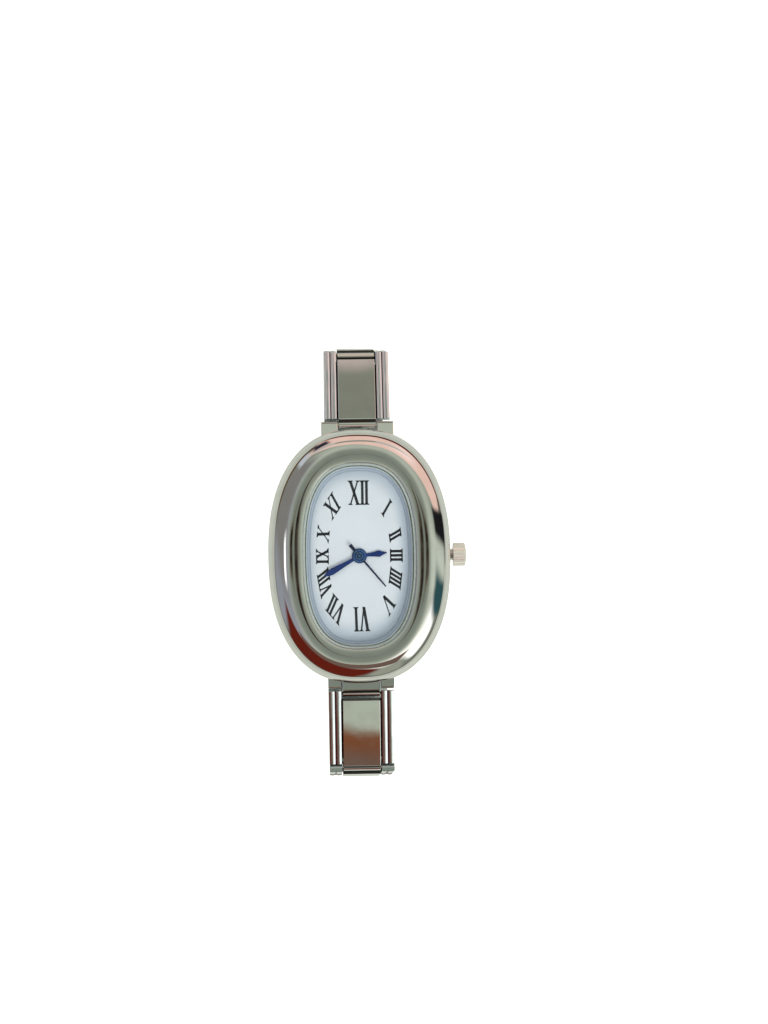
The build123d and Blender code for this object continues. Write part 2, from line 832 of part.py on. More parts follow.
def rail_section(side):
    """End view of one rail: two rounded ridges side by side on a flat base."""
    low, high = -rail_below, rail_above - ridge_sag
    inner, outer = rail_inner, link_half
    middle = (inner + outer) / 2
    lines = [Line((inner, high), (inner, low)), Line((inner, low), (outer, low)),
             Line((outer, low), (outer, high)),
             SagittaArc((outer, high), (middle, high), ridge_sag),
             SagittaArc((middle, high), (inner, high), ridge_sag)]
    face = Plane.XZ * make_face(lines)
    return face if side > 0 else mirror(face, about=Plane.YZ)


def link_frame():
    """Two rails joined by a floor, bevelled below at both ends, with the hinge pin."""
    bevel = rail_below * tan(radians(bevel_angle))
    outline = [(rail_start + bevel, -rail_below), (rail_start, 0), (rail_start, rail_above),
               (rail_end, rail_above), (rail_end, 0), (rail_end - bevel, -rail_below)]
    envelope = side_slab(outline, -link_half, link_half)
    floor = block((-rail_inner, rail_inner), (0, plate_end), (-rail_below, -plate_below))
    body = floor
    for side in (-1, 1):
        body += extrude(rail_section(side), amount=link_pitch * 2, both=True)
    body = body & envelope
    reach = rail_inner + pin_seat
    body -= rod(pin_radius + fit, -reach, reach, link_pitch, 0)
    pin = rod(pin_radius, -reach + fit, reach - fit, link_pitch, 0)
    return Compound(children=[body, pin])


def link_plate(open_tongue=False):
    """The raised centre plate, whose round tongue takes the neighbour's pin."""
    bottom = -plate_below
    half = plate_width / 2
    side = [(rail_start, bottom), (0, -tongue_radius), (0, tongue_radius),
            (tongue_radius, plate_above), (plate_end, plate_above), (plate_end, bottom)]
    bevel = rail_below * tan(radians(bevel_angle))
    body = side_slab(side, -half, half)
    under = [(0, bottom - overrun), (rail_start + bevel * plate_below / rail_below, bottom - overrun),
             (rail_start + bevel * plate_below / rail_below, bottom), (rail_start, -tongue_radius),
             (0, -tongue_radius)]
    body -= side_slab(under, -link_half, link_half)
    edge = [(half + overrun, plate_above - plate_chamfer - overrun), (half + overrun, plate_above + overrun),
            (half - plate_chamfer - overrun, plate_above + overrun)]
    for mirror_side in (-1, 1):
        corner = make_face(Plane.XZ * Polyline(*[(mirror_side * x, z) for x, z in edge], close=True))
        body -= extrude(corner, amount=link_pitch * 2, both=True)
    body += rod(tongue_radius, -half, half, 0, 0)
    body -= rod(pin_radius + run, -link_half, link_half, 0, 0)
    if open_tongue:
        body -= block((-link_half, link_half), (-link_pitch, 0), (-plate_below, plate_above + overrun))
    return body


def arc_tilts(start, goal, side, count):
    """Tilts of links that lead from one point to another as equal chords of one arc."""
    across = side * (goal[0] - start[0])
    down = start[1] - goal[1]
    spans = hypot(across, down) / link_pitch
    low, high = 0, pi / count
    for _ in range(60):
        half_turn = (low + high) / 2
        if sin(count * half_turn) > spans * sin(half_turn):
            low = half_turn
        else:
            high = half_turn
    middle = degrees(atan2(down, across))
    return [middle + degrees(half_turn) * (2 * link - count + 1) for link in range(count)]


def chain_tilts(hinge, first_tilts, side, count):
    """Tilts of one chain: the first links as worn, the others on an arc to the lowest link."""
    y, z = hinge, hinge_height
    for tilt in first_tilts:
        y += side * link_pitch * cos(radians(tilt))
        z -= link_pitch * sin(radians(tilt))
    goal = (lowest_middle + side * link_pitch / 2, hinge_height - link_pitch * loop_depth_share)
    return first_tilts + arc_tilts((y, z), goal, side, count - len(first_tilts))


all_tilts_up = chain_tilts(hinge_up, tilts_up, 1, upper_link_count - 1) + [180]
all_tilts_down = chain_tilts(-hinge_down, tilts_down, -1, lower_link_count)


def placed(shape, hinge, side, tilt, reverse):
    """A link moved from its own frame to its hinge and tilt in the loop."""
    if side > 0:
        return Pos(0, *hinge) * Rot(-tilt, 0, 0) * shape
    if reverse:
        return Pos(0, *hinge) * Rot(tilt, 0, 0) * Pos(0, -link_pitch, 0) * shape
    return Pos(0, *hinge) * Rot(tilt, 0, 0) * shape


def bracelet():
    """Every link of the loop, first the chain from 12 o'clock, then the one from 6 o'clock."""
    pieces = {}
    hinges = []
    frame, plate = link_frame(), link_plate()
    y, z = hinge_up, hinge_height
    for number, tilt in enumerate(all_tilts_up, start=1):
        name = f"upper_link_{number}"
        pieces[name + "_frame"] = placed(frame, (y, z), 1, tilt, False)
        pieces[name + "_plate"] = placed(plate, (y, z), 1, tilt, False)
        hinges.append((name, y, z, tilt))
        y += link_pitch * cos(radians(tilt))
        z -= link_pitch * sin(radians(tilt))
    y, z = -hinge_down, hinge_height
    for number, tilt in enumerate(all_tilts_down, start=1):
        name = f"lower_link_{number}"
        last = number == len(all_tilts_down)
        pieces[name + "_frame"] = placed(frame, (y, z), -1, tilt, True)
        pieces[name + "_plate"] = placed(link_plate(last), (y, z), -1, tilt, True)
        hinges.append((name, y, z, tilt))
        y -= link_pitch * cos(radians(tilt))
        z -= link_pitch * sin(radians(tilt))
    for name, y, z, tilt in hinges:
        print("hinge", name, round(y, 4), round(z, 4), "tilt", round(tilt, 4))
    return pieces


def head():
    """Every piece of the watch head, by name."""
    builders = [case_back, back_gasket, crystal, crystal_gasket, dial_ring, dial, movement_holder,
                main_plate, train_bridge, bridge_screws, coil_core, coil, stator, circuit_board,
                quartz_can, battery_cell, battery_clip, crown_tube, crown, crown_gasket, stem,
                setting_lever, rotor, intermediate_wheel, seconds_wheel, third_wheel, centre_wheel,
                minute_wheel, hour_wheel, hour_hand, minute_hand, second_hand]
    pieces = {builder.__name__: builder() for builder in builders}
    pieces["case_shell"] = Compound(children=[case_shell(), ears_pin()])
    return pieces


os.makedirs("parts", exist_ok=True)
for node, shape in {**head(), **bracelet()}.items():
    export_step(shape, f"parts/{node}.step")
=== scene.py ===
from math import atan2, cos, pi, radians, sin, sqrt, tan

import bmesh
import bpy
from mathutils import Matrix, Vector


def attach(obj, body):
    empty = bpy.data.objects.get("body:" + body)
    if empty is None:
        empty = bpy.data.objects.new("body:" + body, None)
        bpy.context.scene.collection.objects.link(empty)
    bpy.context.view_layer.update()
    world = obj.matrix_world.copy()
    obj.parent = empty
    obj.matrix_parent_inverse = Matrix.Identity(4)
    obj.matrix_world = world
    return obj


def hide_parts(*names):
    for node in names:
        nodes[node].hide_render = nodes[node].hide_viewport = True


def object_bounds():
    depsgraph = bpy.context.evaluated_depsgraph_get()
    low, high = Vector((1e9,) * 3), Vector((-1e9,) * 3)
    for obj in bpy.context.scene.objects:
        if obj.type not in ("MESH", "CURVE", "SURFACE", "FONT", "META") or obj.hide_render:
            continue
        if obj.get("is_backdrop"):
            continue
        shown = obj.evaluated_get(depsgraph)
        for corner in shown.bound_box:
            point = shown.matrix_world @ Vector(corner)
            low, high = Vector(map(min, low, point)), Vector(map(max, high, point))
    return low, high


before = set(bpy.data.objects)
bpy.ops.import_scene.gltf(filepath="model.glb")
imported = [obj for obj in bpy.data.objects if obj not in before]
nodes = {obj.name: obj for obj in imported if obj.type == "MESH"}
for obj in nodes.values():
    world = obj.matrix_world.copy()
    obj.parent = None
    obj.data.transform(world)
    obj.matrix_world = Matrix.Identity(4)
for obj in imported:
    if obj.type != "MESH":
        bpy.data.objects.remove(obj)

cad_low, cad_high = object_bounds()


# The room: a white table, one large soft window lamp, and the cards and flags that a bright
# mirror needs round it. Steel shows nothing but what stands about it, so they are placed by
# compass direction from the watch, anticlockwise from 3 o'clock, and by height above the table.
class Wire:
    """One socket of a shader, with the sums that are used on it."""

    def __init__(self, tree, socket=None):
        self.tree, self.socket = tree, socket

    def node(self, kind, settings=None, inputs=None, out=0):
        """Any node, with its settings first and then its sockets' values or wires."""
        made = self.tree.nodes.new(kind)
        for name, value in (settings or {}).items():
            if name == "stops":
                ramp = made.color_ramp
                ramp.elements[0].position, ramp.elements[1].position = value[0][0], value[-1][0]
                ramp.elements[0].color, ramp.elements[1].color = value[0][1], value[-1][1]
                for place, shade in value[1:-1]:
                    ramp.elements.new(place).color = shade
            else:
                setattr(made, name, value)
        for name, value in (inputs or {}).items():
            if isinstance(value, Wire):
                self.tree.links.new(value.socket, made.inputs[name])
            else:
                made.inputs[name].default_value = value
        return Wire(self.tree, made.outputs[out])

    def maths(self, operation, *values):
        return self.node("ShaderNodeMath", {"operation": operation}, dict(enumerate(values)))

    def __add__(self, other):
        return self.maths("ADD", self, other)

    def __sub__(self, other):
        return self.maths("SUBTRACT", self, other)

    def __rsub__(self, other):
        return self.maths("SUBTRACT", other, self)

    def __mul__(self, other):
        return self.maths("MULTIPLY", self, other)

    def __truediv__(self, other):
        return self.maths("DIVIDE", self, other)

    def __pow__(self, other):
        return self.maths("POWER", self, other)

    def __abs__(self):
        return self.maths("ABSOLUTE", self)

    __radd__, __rmul__ = __add__, __mul__

    def eased(self, start, end, low=0.0, high=1.0):
        """A soft step from low at start to high at end."""
        return self.node("ShaderNodeMapRange", {"interpolation_type": "SMOOTHSTEP"},
                         {0: self, 1: start, 2: end, 3: low, 4: high})

    def along(self, axis):
        """How far a direction goes along a fixed axis."""
        return self.node("ShaderNodeVectorMath", {"operation": "DOT_PRODUCT"},
                         {0: self, 1: axis}, out="Value")

    def shifted(self, move):
        return self.node("ShaderNodeVectorMath", {"operation": "ADD"}, {0: self, 1: move})

    def stretched(self, factors):
        return self.node("ShaderNodeVectorMath", {"operation": "MULTIPLY"}, {0: self, 1: factors})

    def noise(self, scale, detail, roughness=0.5):
        """Cloudy noise over the place that this wire carries."""
        return self.node("ShaderNodeTexNoise", inputs={
            "Vector": self, "Scale": scale, "Detail": detail, "Roughness": roughness})

    def blend(self, first, second):
        """A colour between two, this wire being the share of the second."""
        return self.node("ShaderNodeMix", {"data_type": "RGBA"}, {0: self, 6: first, 7: second},
                         out=2)


def plug(wire, skin, socket):
    """Feeds a wire to one of a shader's sockets."""
    wire.tree.links.new(wire.socket, skin.inputs[socket])


room = bpy.data.worlds.new("photo_room")
room.use_nodes = True
bpy.context.scene.world = room
gaze = Wire(room.node_tree).node("ShaderNodeTexCoord", out="Generated")
height_share = gaze.along((0, 0, 1)) * 0.5 + 0.5

# Each card: direction and height of its middle, how wide and tall it is, all in degrees, how soft
# its edge is, and its colour as light. A later card stands before an earlier one.
cards = [
    ("pale_wall_left", 180, 43, 50, 60, 0.35, (0.33, 0.35, 0.39)),
    ("grey_wall_upper_left", 160, 41, 34, 54, 0.30, (0.24, 0.235, 0.22)),
    ("brown_shelf", 142, 16, 54, 8, 0.40, (0.12, 0.07, 0.03)),
    ("pale_lamp_upper_left", 135, 31, 12, 20, 0.40, (0.60, 0.64, 0.70)),
    ("window_strip_left", 182, 62, 5.5, 7, 0.50, (1.6, 1.6, 1.65)),
    ("rose_curtain", 68, 37, 100, 46.5, 0.07, (0.95, 0.66, 0.56)),
    ("pale_blind_upper_right", 50, 38, 16, 26, 0.90, (1.15, 0.88, 0.80)),
    ("dark_blue_book", 117, 26, 14, 18, 0.40, (0.03, 0.03, 0.05)),
    ("pale_beam_above", 90, 43.6, 66, 7, 0.40, (0.52, 0.53, 0.51)),
    ("dusty_beam_above", 90, 43.6, 16, 7, 0.40, (0.58, 0.49, 0.46)),
    ("grey_beam_above", 90.5, 43.6, 20, 4.3, 0.10, (0.25, 0.265, 0.215)),
    ("maroon_skirting", 62, 16, 104, 9, 0.35, (0.12, 0.02, 0.02)),
    ("black_door", 4, 29, 13, 48, 0.20, (0.012, 0.012, 0.014)),
    ("pale_green_wall_right", -3, 40, 8, 60, 0.40, (0.62, 0.68, 0.58)),
    ("teal_cupboard", -12, 32, 12, 44, 0.40, (0.03, 0.09, 0.10)),
    ("white_softbox", -36, 42, 24, 30, 0.35, (1.7, 1.7, 1.65)),
    ("grey_green_wall_below", -72, 40, 26, 48, 0.30, (0.36, 0.38, 0.31)),
    ("white_window_below", -56, 59, 34, 17, 0.60, (1.4, 1.4, 1.3)),
    ("red_brown_table_edge", -98, 61.9, 50, 14.94, 0.02, (0.22, 0.075, 0.032)),
    ("grey_brown_table", -98, 61.2, 50, 15.14, 0.05, (0.17, 0.115, 0.09)),
    ("dark_red_cloth", -122, 36, 62, 42, 0.12, (0.14, 0.016, 0.008)),
    ("sleeve_left", 180, 84, 2.8, 8, 0.45, (0.11, 0.08, 0.05)),
    ("sleeve_right", 0, 84, 2.8, 8, 0.45, (0.11, 0.08, 0.05)),
    ("camera_left", 180, 84.75, 1.5, 5.5, 0.40, (0.012, 0.010, 0.010)),
    ("camera_right", 0, 84.75, 1.5, 5.5, 0.40, (0.012, 0.010, 0.010)),
]
# What the bare room shows from the floor, at 0, to straight above, at 1.
room_shades = [
    (0.0, (0.66, 0.68, 0.60, 1)), (0.592, (0.58, 0.61, 0.52, 1)), (0.602, (0.06, 0.05, 0.045, 1)),
    (0.612, (0.06, 0.055, 0.05, 1)), (0.635, (0.20, 0.215, 0.18, 1)),
    (0.85, (0.27, 0.295, 0.24, 1)), (0.955, (0.50, 0.55, 0.46, 1)), (0.972, (0.48, 0.53, 0.44, 1)),
    (0.988, (0.29, 0.325, 0.27, 1)), (1.0, (0.23, 0.26, 0.215, 1))]
shown = gaze.node("ShaderNodeValToRGB", {"stops": room_shades}, {0: height_share})
for _, turn, height, wide, tall, softness, colour in cards:
    turn, height = radians(turn), radians(height)
    aim = Vector((cos(turn) * cos(height), sin(turn) * cos(height), sin(height)))
    side = Vector((-sin(turn), cos(turn), 0))
    depth = gaze.along(aim)
    near = depth.maths("MAXIMUM", depth, 0.001)
    half_wide, half_tall = tan(radians(wide / 2)), tan(radians(tall / 2))
    across = (abs(gaze.along(side)) / near).eased(
        half_wide * (1 + softness), half_wide * (1 - softness))
    upright = (abs(gaze.along(aim.cross(side))) / near).eased(
        half_tall * (1 + softness), half_tall * (1 - softness))
    shown = (across * upright * depth.eased(0, 0.05)).blend(shown, (*colour, 1))
# The cards are for mirrors alone: all else is lit by an even pale room.
even_room = (0.70, 0.715, 0.73, 1)
mirrored = gaze.node("ShaderNodeLightPath", out="Is Glossy Ray")
sky = gaze.node("ShaderNodeBackground", inputs={
    "Color": mirrored.blend(even_room, shown), "Strength": 1.0})
plug(sky, room.node_tree.nodes["World Output"], "Surface")

table_half, table_glow = 2.5, 0.78
table_form = bpy.data.meshes.new("table_top")
table_form.from_pydata([(x * table_half, y * table_half, cad_low.z)
                        for x, y in ((-1, -1), (1, -1), (1, 1), (-1, 1))], [], [(0, 1, 2, 3)])
table = bpy.data.objects.new("table_top", table_form)
bpy.context.collection.objects.link(table)
table_paint = bpy.data.materials.new("white_table_paint")
table_paint.use_nodes = True
table_skin = table_paint.node_tree.nodes["Principled BSDF"]
table_grain = Wire(table_paint.node_tree).node("ShaderNodeTexCoord", out="Object").noise(60.0, 3.0)
plug(table_grain.eased(0.3, 0.7).blend((0.54, 0.56, 0.49, 1), (0.56, 0.58, 0.51, 1)),
     table_skin, "Base Color")
table_skin.inputs["Roughness"].default_value = 0.9
table_skin.inputs["Specular IOR Level"].default_value = 0.1
plug(table_grain.node("ShaderNodeLightPath", out="Is Camera Ray").blend(
    (0.0, 0.0, 0.0, 1), (1.0, 1.0, 0.975, 1)), table_skin, "Emission Color")
table_skin.inputs["Emission Strength"].default_value = table_glow
table_form.materials.append(table_paint)
table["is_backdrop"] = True

for lamp_name, place, size, power in (("window_lamp", (0.55, -0.75, 1.25), 0.7, 14.0),
                                      ("ceiling_bounce", (-0.6, 0.7, 1.5), 1.2, 4.0)):
    lamp_data = bpy.data.lights.new(lamp_name, "AREA")
    lamp_data.size, lamp_data.energy = size, power
    lamp_data.color = (1.0, 0.995, 0.985)
    lamp = bpy.data.objects.new(lamp_name, lamp_data)
    lamp.location = place
    lamp.rotation_euler = (-Vector(place)).to_track_quat("-Z", "Y").to_euler()
    lamp.visible_glossy = lamp.visible_camera = False
    bpy.context.collection.objects.link(lamp)

# The camera looks down on the dial from 30 cm, from a little to the left of the hands' axis. Its
# place, turns and lens are those that lay the watch's edges on the photograph's.
camera_place, camera_roll, camera_pan, camera_tilt = (-0.005, 0.00205, 0.305), -0.875, -1.602, 0.772
camera_data = bpy.data.cameras.new("photo_camera")
camera_data.lens, camera_data.sensor_width, camera_data.clip_start = 77.01, 36.0, 0.01
camera = bpy.data.objects.new("photo_camera", camera_data)
camera.matrix_world = (
    Matrix.Translation(camera_place) @ Matrix.Rotation(radians(camera_roll), 4, "Z")
    @ Matrix.Rotation(radians(camera_pan), 4, "Y") @ Matrix.Rotation(radians(camera_tilt), 4, "X"))
bpy.context.collection.objects.link(camera)
bpy.context.scene.camera = camera
bpy.context.scene.view_settings.view_transform = "Standard"


# The case: one piece of steel, turned and ground to an oval bowl and buffed until it mirrors. The
# flank rounds over a crest and falls as a dish to the glass. Two ears at 12 o'clock hold the first
# link's pin, and two shoulders and a tongue stand at 6 o'clock. Sizes are in millimetres.
MILLIMETRE = 0.001
case_half_x, case_half_y, case_power, glass_power = 12.5, 17.45, 2.35, 2.6
widest_height, crest_height, crest_inset, crest_land = 4.5, 7.0, 3.35, 0.1
underside_height, underside_inset, back_margin = 0.35, 1.5, 2.3
dish_drop, bezel_width, glass_seat, glass_ledge = 0.12, 4.75, 5.6, 0.45
ring_top, cavity_margin, back_top, rim_round = 5.05, 2.9, 0.95, 0.07
crown_axis_height, tunnel_half = 2.6, 0.47
# The bowl and the dish are arcs that stop at a turn in degrees. All are cut in short steps.
bowl_turn, dish_turn = 75, 30
bowl_steps, crest_steps, dish_steps, case_sides = 20, 32, 20, 256


def oval_point(inset, power, turn):
    """A point of the oval that lies inset from the case's outline, at a turn in radians."""
    bulge = (abs(cos(turn)) ** power + abs(sin(turn)) ** power) ** (-1 / power)
    return (case_half_x - inset) * bulge * cos(turn), (case_half_y - inset) * bulge * sin(turn)


def rounded_corner(before, corner, after, radius, steps=3):
    """A crisp corner of a section, rounded with a few points."""
    into = Vector((before[0] - corner[0], before[1] - corner[1])).normalized() * radius
    out = Vector((after[0] - corner[0], after[1] - corner[1])).normalized() * radius
    start, end = Vector(corner[:2]) + into, Vector(corner[:2]) + out
    points = []
    for step in range(steps + 1):
        share = step / steps
        spot = (start * (1 - share) ** 2 + Vector(corner[:2]) * 2 * share * (1 - share)
                + end * share ** 2)
        points.append((spot.x, spot.y, corner[2]))
    return points


def case_section():
    """The wall's closed section as insets, heights and powers, up the flank and down the inside."""
    section = []
    end = radians(bowl_turn)
    for step in range(bowl_steps + 1):
        a = end * (1 - step / bowl_steps)
        section.append((
            underside_inset * (1 - cos(a)) / (1 - cos(end)),
            widest_height - (widest_height - underside_height) * sin(a) / sin(end), case_power))
    for step in range(1, crest_steps + 1):
        a = radians(90) * step / crest_steps
        section.append((crest_inset * (1 - cos(a)),
                        widest_height + (crest_height - widest_height) * sin(a), case_power))
    end = radians(dish_turn)
    for step in range(dish_steps + 1):
        a = end * step / dish_steps
        share = sin(a) / sin(end)
        section.append((
            crest_inset + crest_land + (bezel_width - crest_inset - crest_land) * share,
            crest_height - dish_drop * (1 - cos(a)) / (1 - cos(end)),
            case_power + (glass_power - case_power) * share))
    lip = section.pop()
    section += rounded_corner(section[-1], lip, (bezel_width, glass_seat), rim_round)
    section += [
        (bezel_width, glass_seat, glass_power),
        (bezel_width + glass_ledge, glass_seat, glass_power),
        (bezel_width + glass_ledge, ring_top, glass_power), (cavity_margin, ring_top, case_power),
        (cavity_margin, crown_axis_height + tunnel_half, case_power),
        (cavity_margin, crown_axis_height - tunnel_half, case_power),
        (cavity_margin, back_top, case_power), (back_margin, back_top, case_power)]
    section += rounded_corner(
        (back_margin, back_top), (back_margin, underside_height, case_power),
        (underside_inset, underside_height), rim_round)
    return section


# Ears, shoulders and tongue, measured from the middle of the case. Ears and shoulders are slanted
# below by as many degrees as a link's ends are, so that the next link can fold down.
hinge_height, end_slant, horn_root, horn_rounding = 2.6, 40, 15.0, 0.09
horn_under, horn_face_top, horn_top, horn_ease = 1.25, 3.05, 3.25, 0.2
ear_reach, ear_root_top, ear_outer, ear_pin_y = 18.55, 3.9, 4.975, 18.15
shoulder_reach, shoulder_root_top, shoulder_outer, horn_inner = 18.3, 3.25, 4.55, 2.725
tongue_pin_y, tongue_under, tongue_top, tongue_neck = 18.9, 1.75, 3.5, 0.9
tongue_half, tongue_radius, tongue_rounding = 2.575, 0.45, 0.06
pin_radius, pin_half = 0.2, 3.605


def horn_side(reach, sign, root_top):
    """Side view of an ear or shoulder: flat below, slanted end, rounded into the flank."""
    slant = (hinge_height - horn_under) * tan(radians(end_slant))
    points = [(horn_root, horn_under), (reach - slant, horn_under), (reach, hinge_height),
              (reach, horn_face_top), (reach - horn_ease, horn_top), (horn_root, root_top)]
    return [(sign * y, z) for y, z in points]


def arc_points(y, z, radius, start, end, steps):
    """Points round a pin at y and z, from a start to an end turn in degrees."""
    turns = [radians(start + (end - start) * step / steps) for step in range(steps + 1)]
    return [(y + radius * cos(a), z + radius * sin(a)) for a in turns]


def closed_slab(outline, x_low, x_high, rounding, crisp_bend=24):
    """A side outline in y and z pulled out across the watch. Edges that bend more are eased."""
    form = bmesh.new()
    near = [form.verts.new((x_low, y, z)) for y, z in outline]
    far = [form.verts.new((x_high, y, z)) for y, z in outline]
    form.faces.new(near)
    form.faces.new(list(reversed(far)))
    for at in range(len(outline)):
        after = (at + 1) % len(outline)
        form.faces.new((near[at], far[at], far[after], near[after]))
    bmesh.ops.recalc_face_normals(form, faces=form.faces)
    crisp = [edge for edge in form.edges if edge.calc_face_angle(0) > radians(crisp_bend)]
    bmesh.ops.bevel(form, geom=crisp, offset=rounding, offset_type="OFFSET", segments=2,
                    profile=0.5, affect="EDGES", clamp_overlap=False)
    return form


def skinned(form, rings, closed=False):
    """Walls between rings, with a cap at both ends or the last ring joined to the first."""
    for at, ring in enumerate(rings if closed else rings[:-1]):
        above = rings[(at + 1) % len(rings)]
        for side, vert in enumerate(ring):
            after = (side + 1) % len(ring)
            form.faces.new((vert, ring[after], above[after], above[side]))
    if not closed:
        form.faces.new(rings[0])
        form.faces.new(rings[-1])
    bmesh.ops.recalc_face_normals(form, faces=form.faces)
    return form


def rod_form(radius, half_length, y, z, sides=24, chamfer=0.03):
    """A pin across the watch with chamfered ends."""
    form = bmesh.new()
    rings = []
    for x, ring_radius in ((-half_length, radius - chamfer), (-half_length + chamfer, radius),
                           (half_length - chamfer, radius), (half_length, radius - chamfer)):
        rings.append([form.verts.new((x, y + ring_radius * cos(2 * pi * side / sides),
                                      z + ring_radius * sin(2 * pi * side / sides)))
                      for side in range(sides)])
    return skinned(form, rings)


def joined_mesh(name, forms, sharp_angle):
    """Closed forms in millimetres as one mesh in metres, smooth but for its crisp edges."""
    mesh = bpy.data.meshes.new(name)
    whole = bmesh.new()
    for form in forms:
        part = bpy.data.meshes.new(name + "_part")
        form.to_mesh(part)
        form.free()
        whole.from_mesh(part)
        bpy.data.meshes.remove(part)
    bmesh.ops.scale(whole, vec=(MILLIMETRE,) * 3, verts=whole.verts)
    whole.to_mesh(mesh)
    whole.free()
    mesh.shade_smooth()
    mesh.set_sharp_from_angle(angle=radians(sharp_angle))
    return mesh


def add_piece(name, mesh, body, slot, finish, *replaced):
    """One piece: its object, its finish, the body it rides on and the nodes it dresses."""
    piece = bpy.data.objects.new(name, mesh)
    bpy.context.collection.objects.link(piece)
    mesh.materials.clear()
    mesh.materials.append(finish)
    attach(piece, body)
    if replaced:
        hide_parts(*replaced)
    return piece


def new_finish(name):
    """An empty finish: its material, its shader, and the place on the piece to build on."""
    material = bpy.data.materials.new(name)
    material.use_nodes = True
    place = Wire(material.node_tree).node("ShaderNodeTexCoord", out="Object")
    return material, material.node_tree.nodes["Principled BSDF"], place


def relieve(skin, height, strength, depth):
    """Lets a height from 0 to 1 stand out of a skin, by a depth in millimetres."""
    plug(height.node("ShaderNodeBump", inputs={
        "Strength": strength, "Distance": depth * MILLIMETRE, "Height": height}), skin, "Normal")


def buffed_steel(name, light, dark, smooth, worn, ripple):
    """Mirror steel: a buff's hairlines, faint cloudy wear and the slow ripple of hand work."""
    material, skin, place = new_finish(name)
    hairs = place.stretched((900, 9000, 2500)).noise(1.0, 4.0, 0.7)
    cloud = place.noise(420.0, 5.0)
    swell = place.noise(190.0, 1.0)
    plug(cloud.eased(0.35, 0.7).blend(light, dark), skin, "Base Color")
    plug(cloud.eased(0.4, 0.75, smooth, worn) + hairs.eased(0.62, 0.72, 0.0, 0.05),
         skin, "Roughness")
    skin.inputs["Metallic"].default_value = 1.0
    relieve(skin, swell + hairs * 0.02, 1.0, ripple)
    return material


case_steel = buffed_steel("buffed_case_steel", (0.80, 0.795, 0.78, 1), (0.76, 0.755, 0.74, 1),
                          0.035, 0.075, 0.02)

# A square tunnel for the crown's tube runs through the wall at 3 o'clock. Two of the case's turns
# are at its edges, with none close by, and the section's points next to its floor and roof are
# moved on to them.
tunnel_turn = atan2(tunnel_half / case_half_y, 1.0)
tunnel_room = tunnel_turn * 1.6
case_turns = [2 * pi * side / case_sides for side in range(case_sides)]
case_turns = [turn for turn in case_turns if turn == 0 or tunnel_room < turn < 2 * pi - tunnel_room]
case_turns = sorted(case_turns + [tunnel_turn, 2 * pi - tunnel_turn])
case_profile = case_section()
tunnel_low, tunnel_high = crown_axis_height - tunnel_half, crown_axis_height + tunnel_half
for at in range(bowl_steps):
    for level in (tunnel_low, tunnel_high):
        low, high = case_profile[at], case_profile[at + 1]
        if low[1] < level < high[1]:
            nearer = at if level - low[1] < high[1] - level else at + 1
            share = (level - low[1]) / (high[1] - low[1])
            case_profile[nearer] = (low[0] + (high[0] - low[0]) * share, level, case_power)
case_form = bmesh.new()
case_rings = []
for turn in case_turns:
    case_rings.append([case_form.verts.new((*oval_point(inset, power, turn), level))
                       for inset, level, power in case_profile])
for at, ring in enumerate(case_rings):
    after_ring = case_rings[(at + 1) % len(case_rings)]
    beside_axis = case_turns[at] in (0, 2 * pi - tunnel_turn)
    for spot in range(len(ring)):
        after = (spot + 1) % len(ring)
        levels = sorted((case_profile[spot][1], case_profile[after][1]))
        in_tunnel = tunnel_low - 0.001 < levels[0] and levels[1] < tunnel_high + 0.001
        if not (beside_axis and in_tunnel):
            case_form.faces.new((ring[spot], after_ring[spot], after_ring[after], ring[after]))
mouth_edges = [edge for edge in case_form.edges if len(edge.link_faces) == 1]
bmesh.ops.bridge_loops(case_form, edges=mouth_edges)
loose = [vert for vert in case_form.verts if not vert.link_faces]
bmesh.ops.delete(case_form, geom=loose, context="VERTS")
bmesh.ops.recalc_face_normals(case_form, faces=case_form.faces)

case_forms = [case_form]
for side in (-1, 1):
    ear = horn_side(ear_reach, 1, ear_root_top)
    case_forms.append(closed_slab(
        ear, *sorted((side * horn_inner, side * ear_outer)), horn_rounding))
    shoulder = horn_side(shoulder_reach, -1, shoulder_root_top)
    case_forms.append(closed_slab(
        shoulder, *sorted((side * horn_inner, side * shoulder_outer)), horn_rounding))
tongue_side = [(-horn_root, tongue_under), (-tongue_pin_y + tongue_neck, tongue_under),
               *arc_points(-tongue_pin_y, hinge_height, tongue_radius, -90, -270, 16),
               (-tongue_pin_y + tongue_radius, tongue_top), (-horn_root, tongue_top)]
case_forms.append(closed_slab(tongue_side, -tongue_half, tongue_half, tongue_rounding))
case_forms.append(rod_form(pin_radius, pin_half, ear_pin_y, hinge_height))
add_piece("case_shell_steel", joined_mesh("case_shell_steel", case_forms, sharp_angle=8),
          "head", "polished_steel", case_steel, "case_shell")


# The back: a pressed steel lid with a chamfered edge, straight-brushed from 12 to 6 o'clock and
# snapped into the case over a flat black rubber gasket. Its face is bare.
def brushed_metal(name, light, dark, stretch, smooth, rough, depth):
    """Metal drawn over abrasive: long fine lines in colour, gloss and relief along one way."""
    material, skin, place = new_finish(name)
    lines = place.stretched(stretch).noise(1.0, 6.0, 0.65)
    patch = place.noise(260.0, 3.0)
    plug(lines.eased(0.35, 0.68).blend(light, dark), skin, "Base Color")
    plug(lines.eased(0.3, 0.7, smooth, rough) + patch.eased(0.4, 0.8, 0.0, 0.06),
         skin, "Roughness")
    skin.inputs["Metallic"].default_value = 1.0
    relieve(skin, lines, 0.6, depth)
    return material


def moulded(name, light, dark, grain, smooth, rough):
    """A moulded or cut plain material with a fine even grain."""
    material, skin, place = new_finish(name)
    speck = place.noise(grain, 4.0)
    plug(speck.eased(0.3, 0.7).blend(light, dark), skin, "Base Color")
    plug(speck.eased(0.3, 0.7, smooth, rough), skin, "Roughness")
    relieve(skin, speck, 0.4, 0.004)
    return material


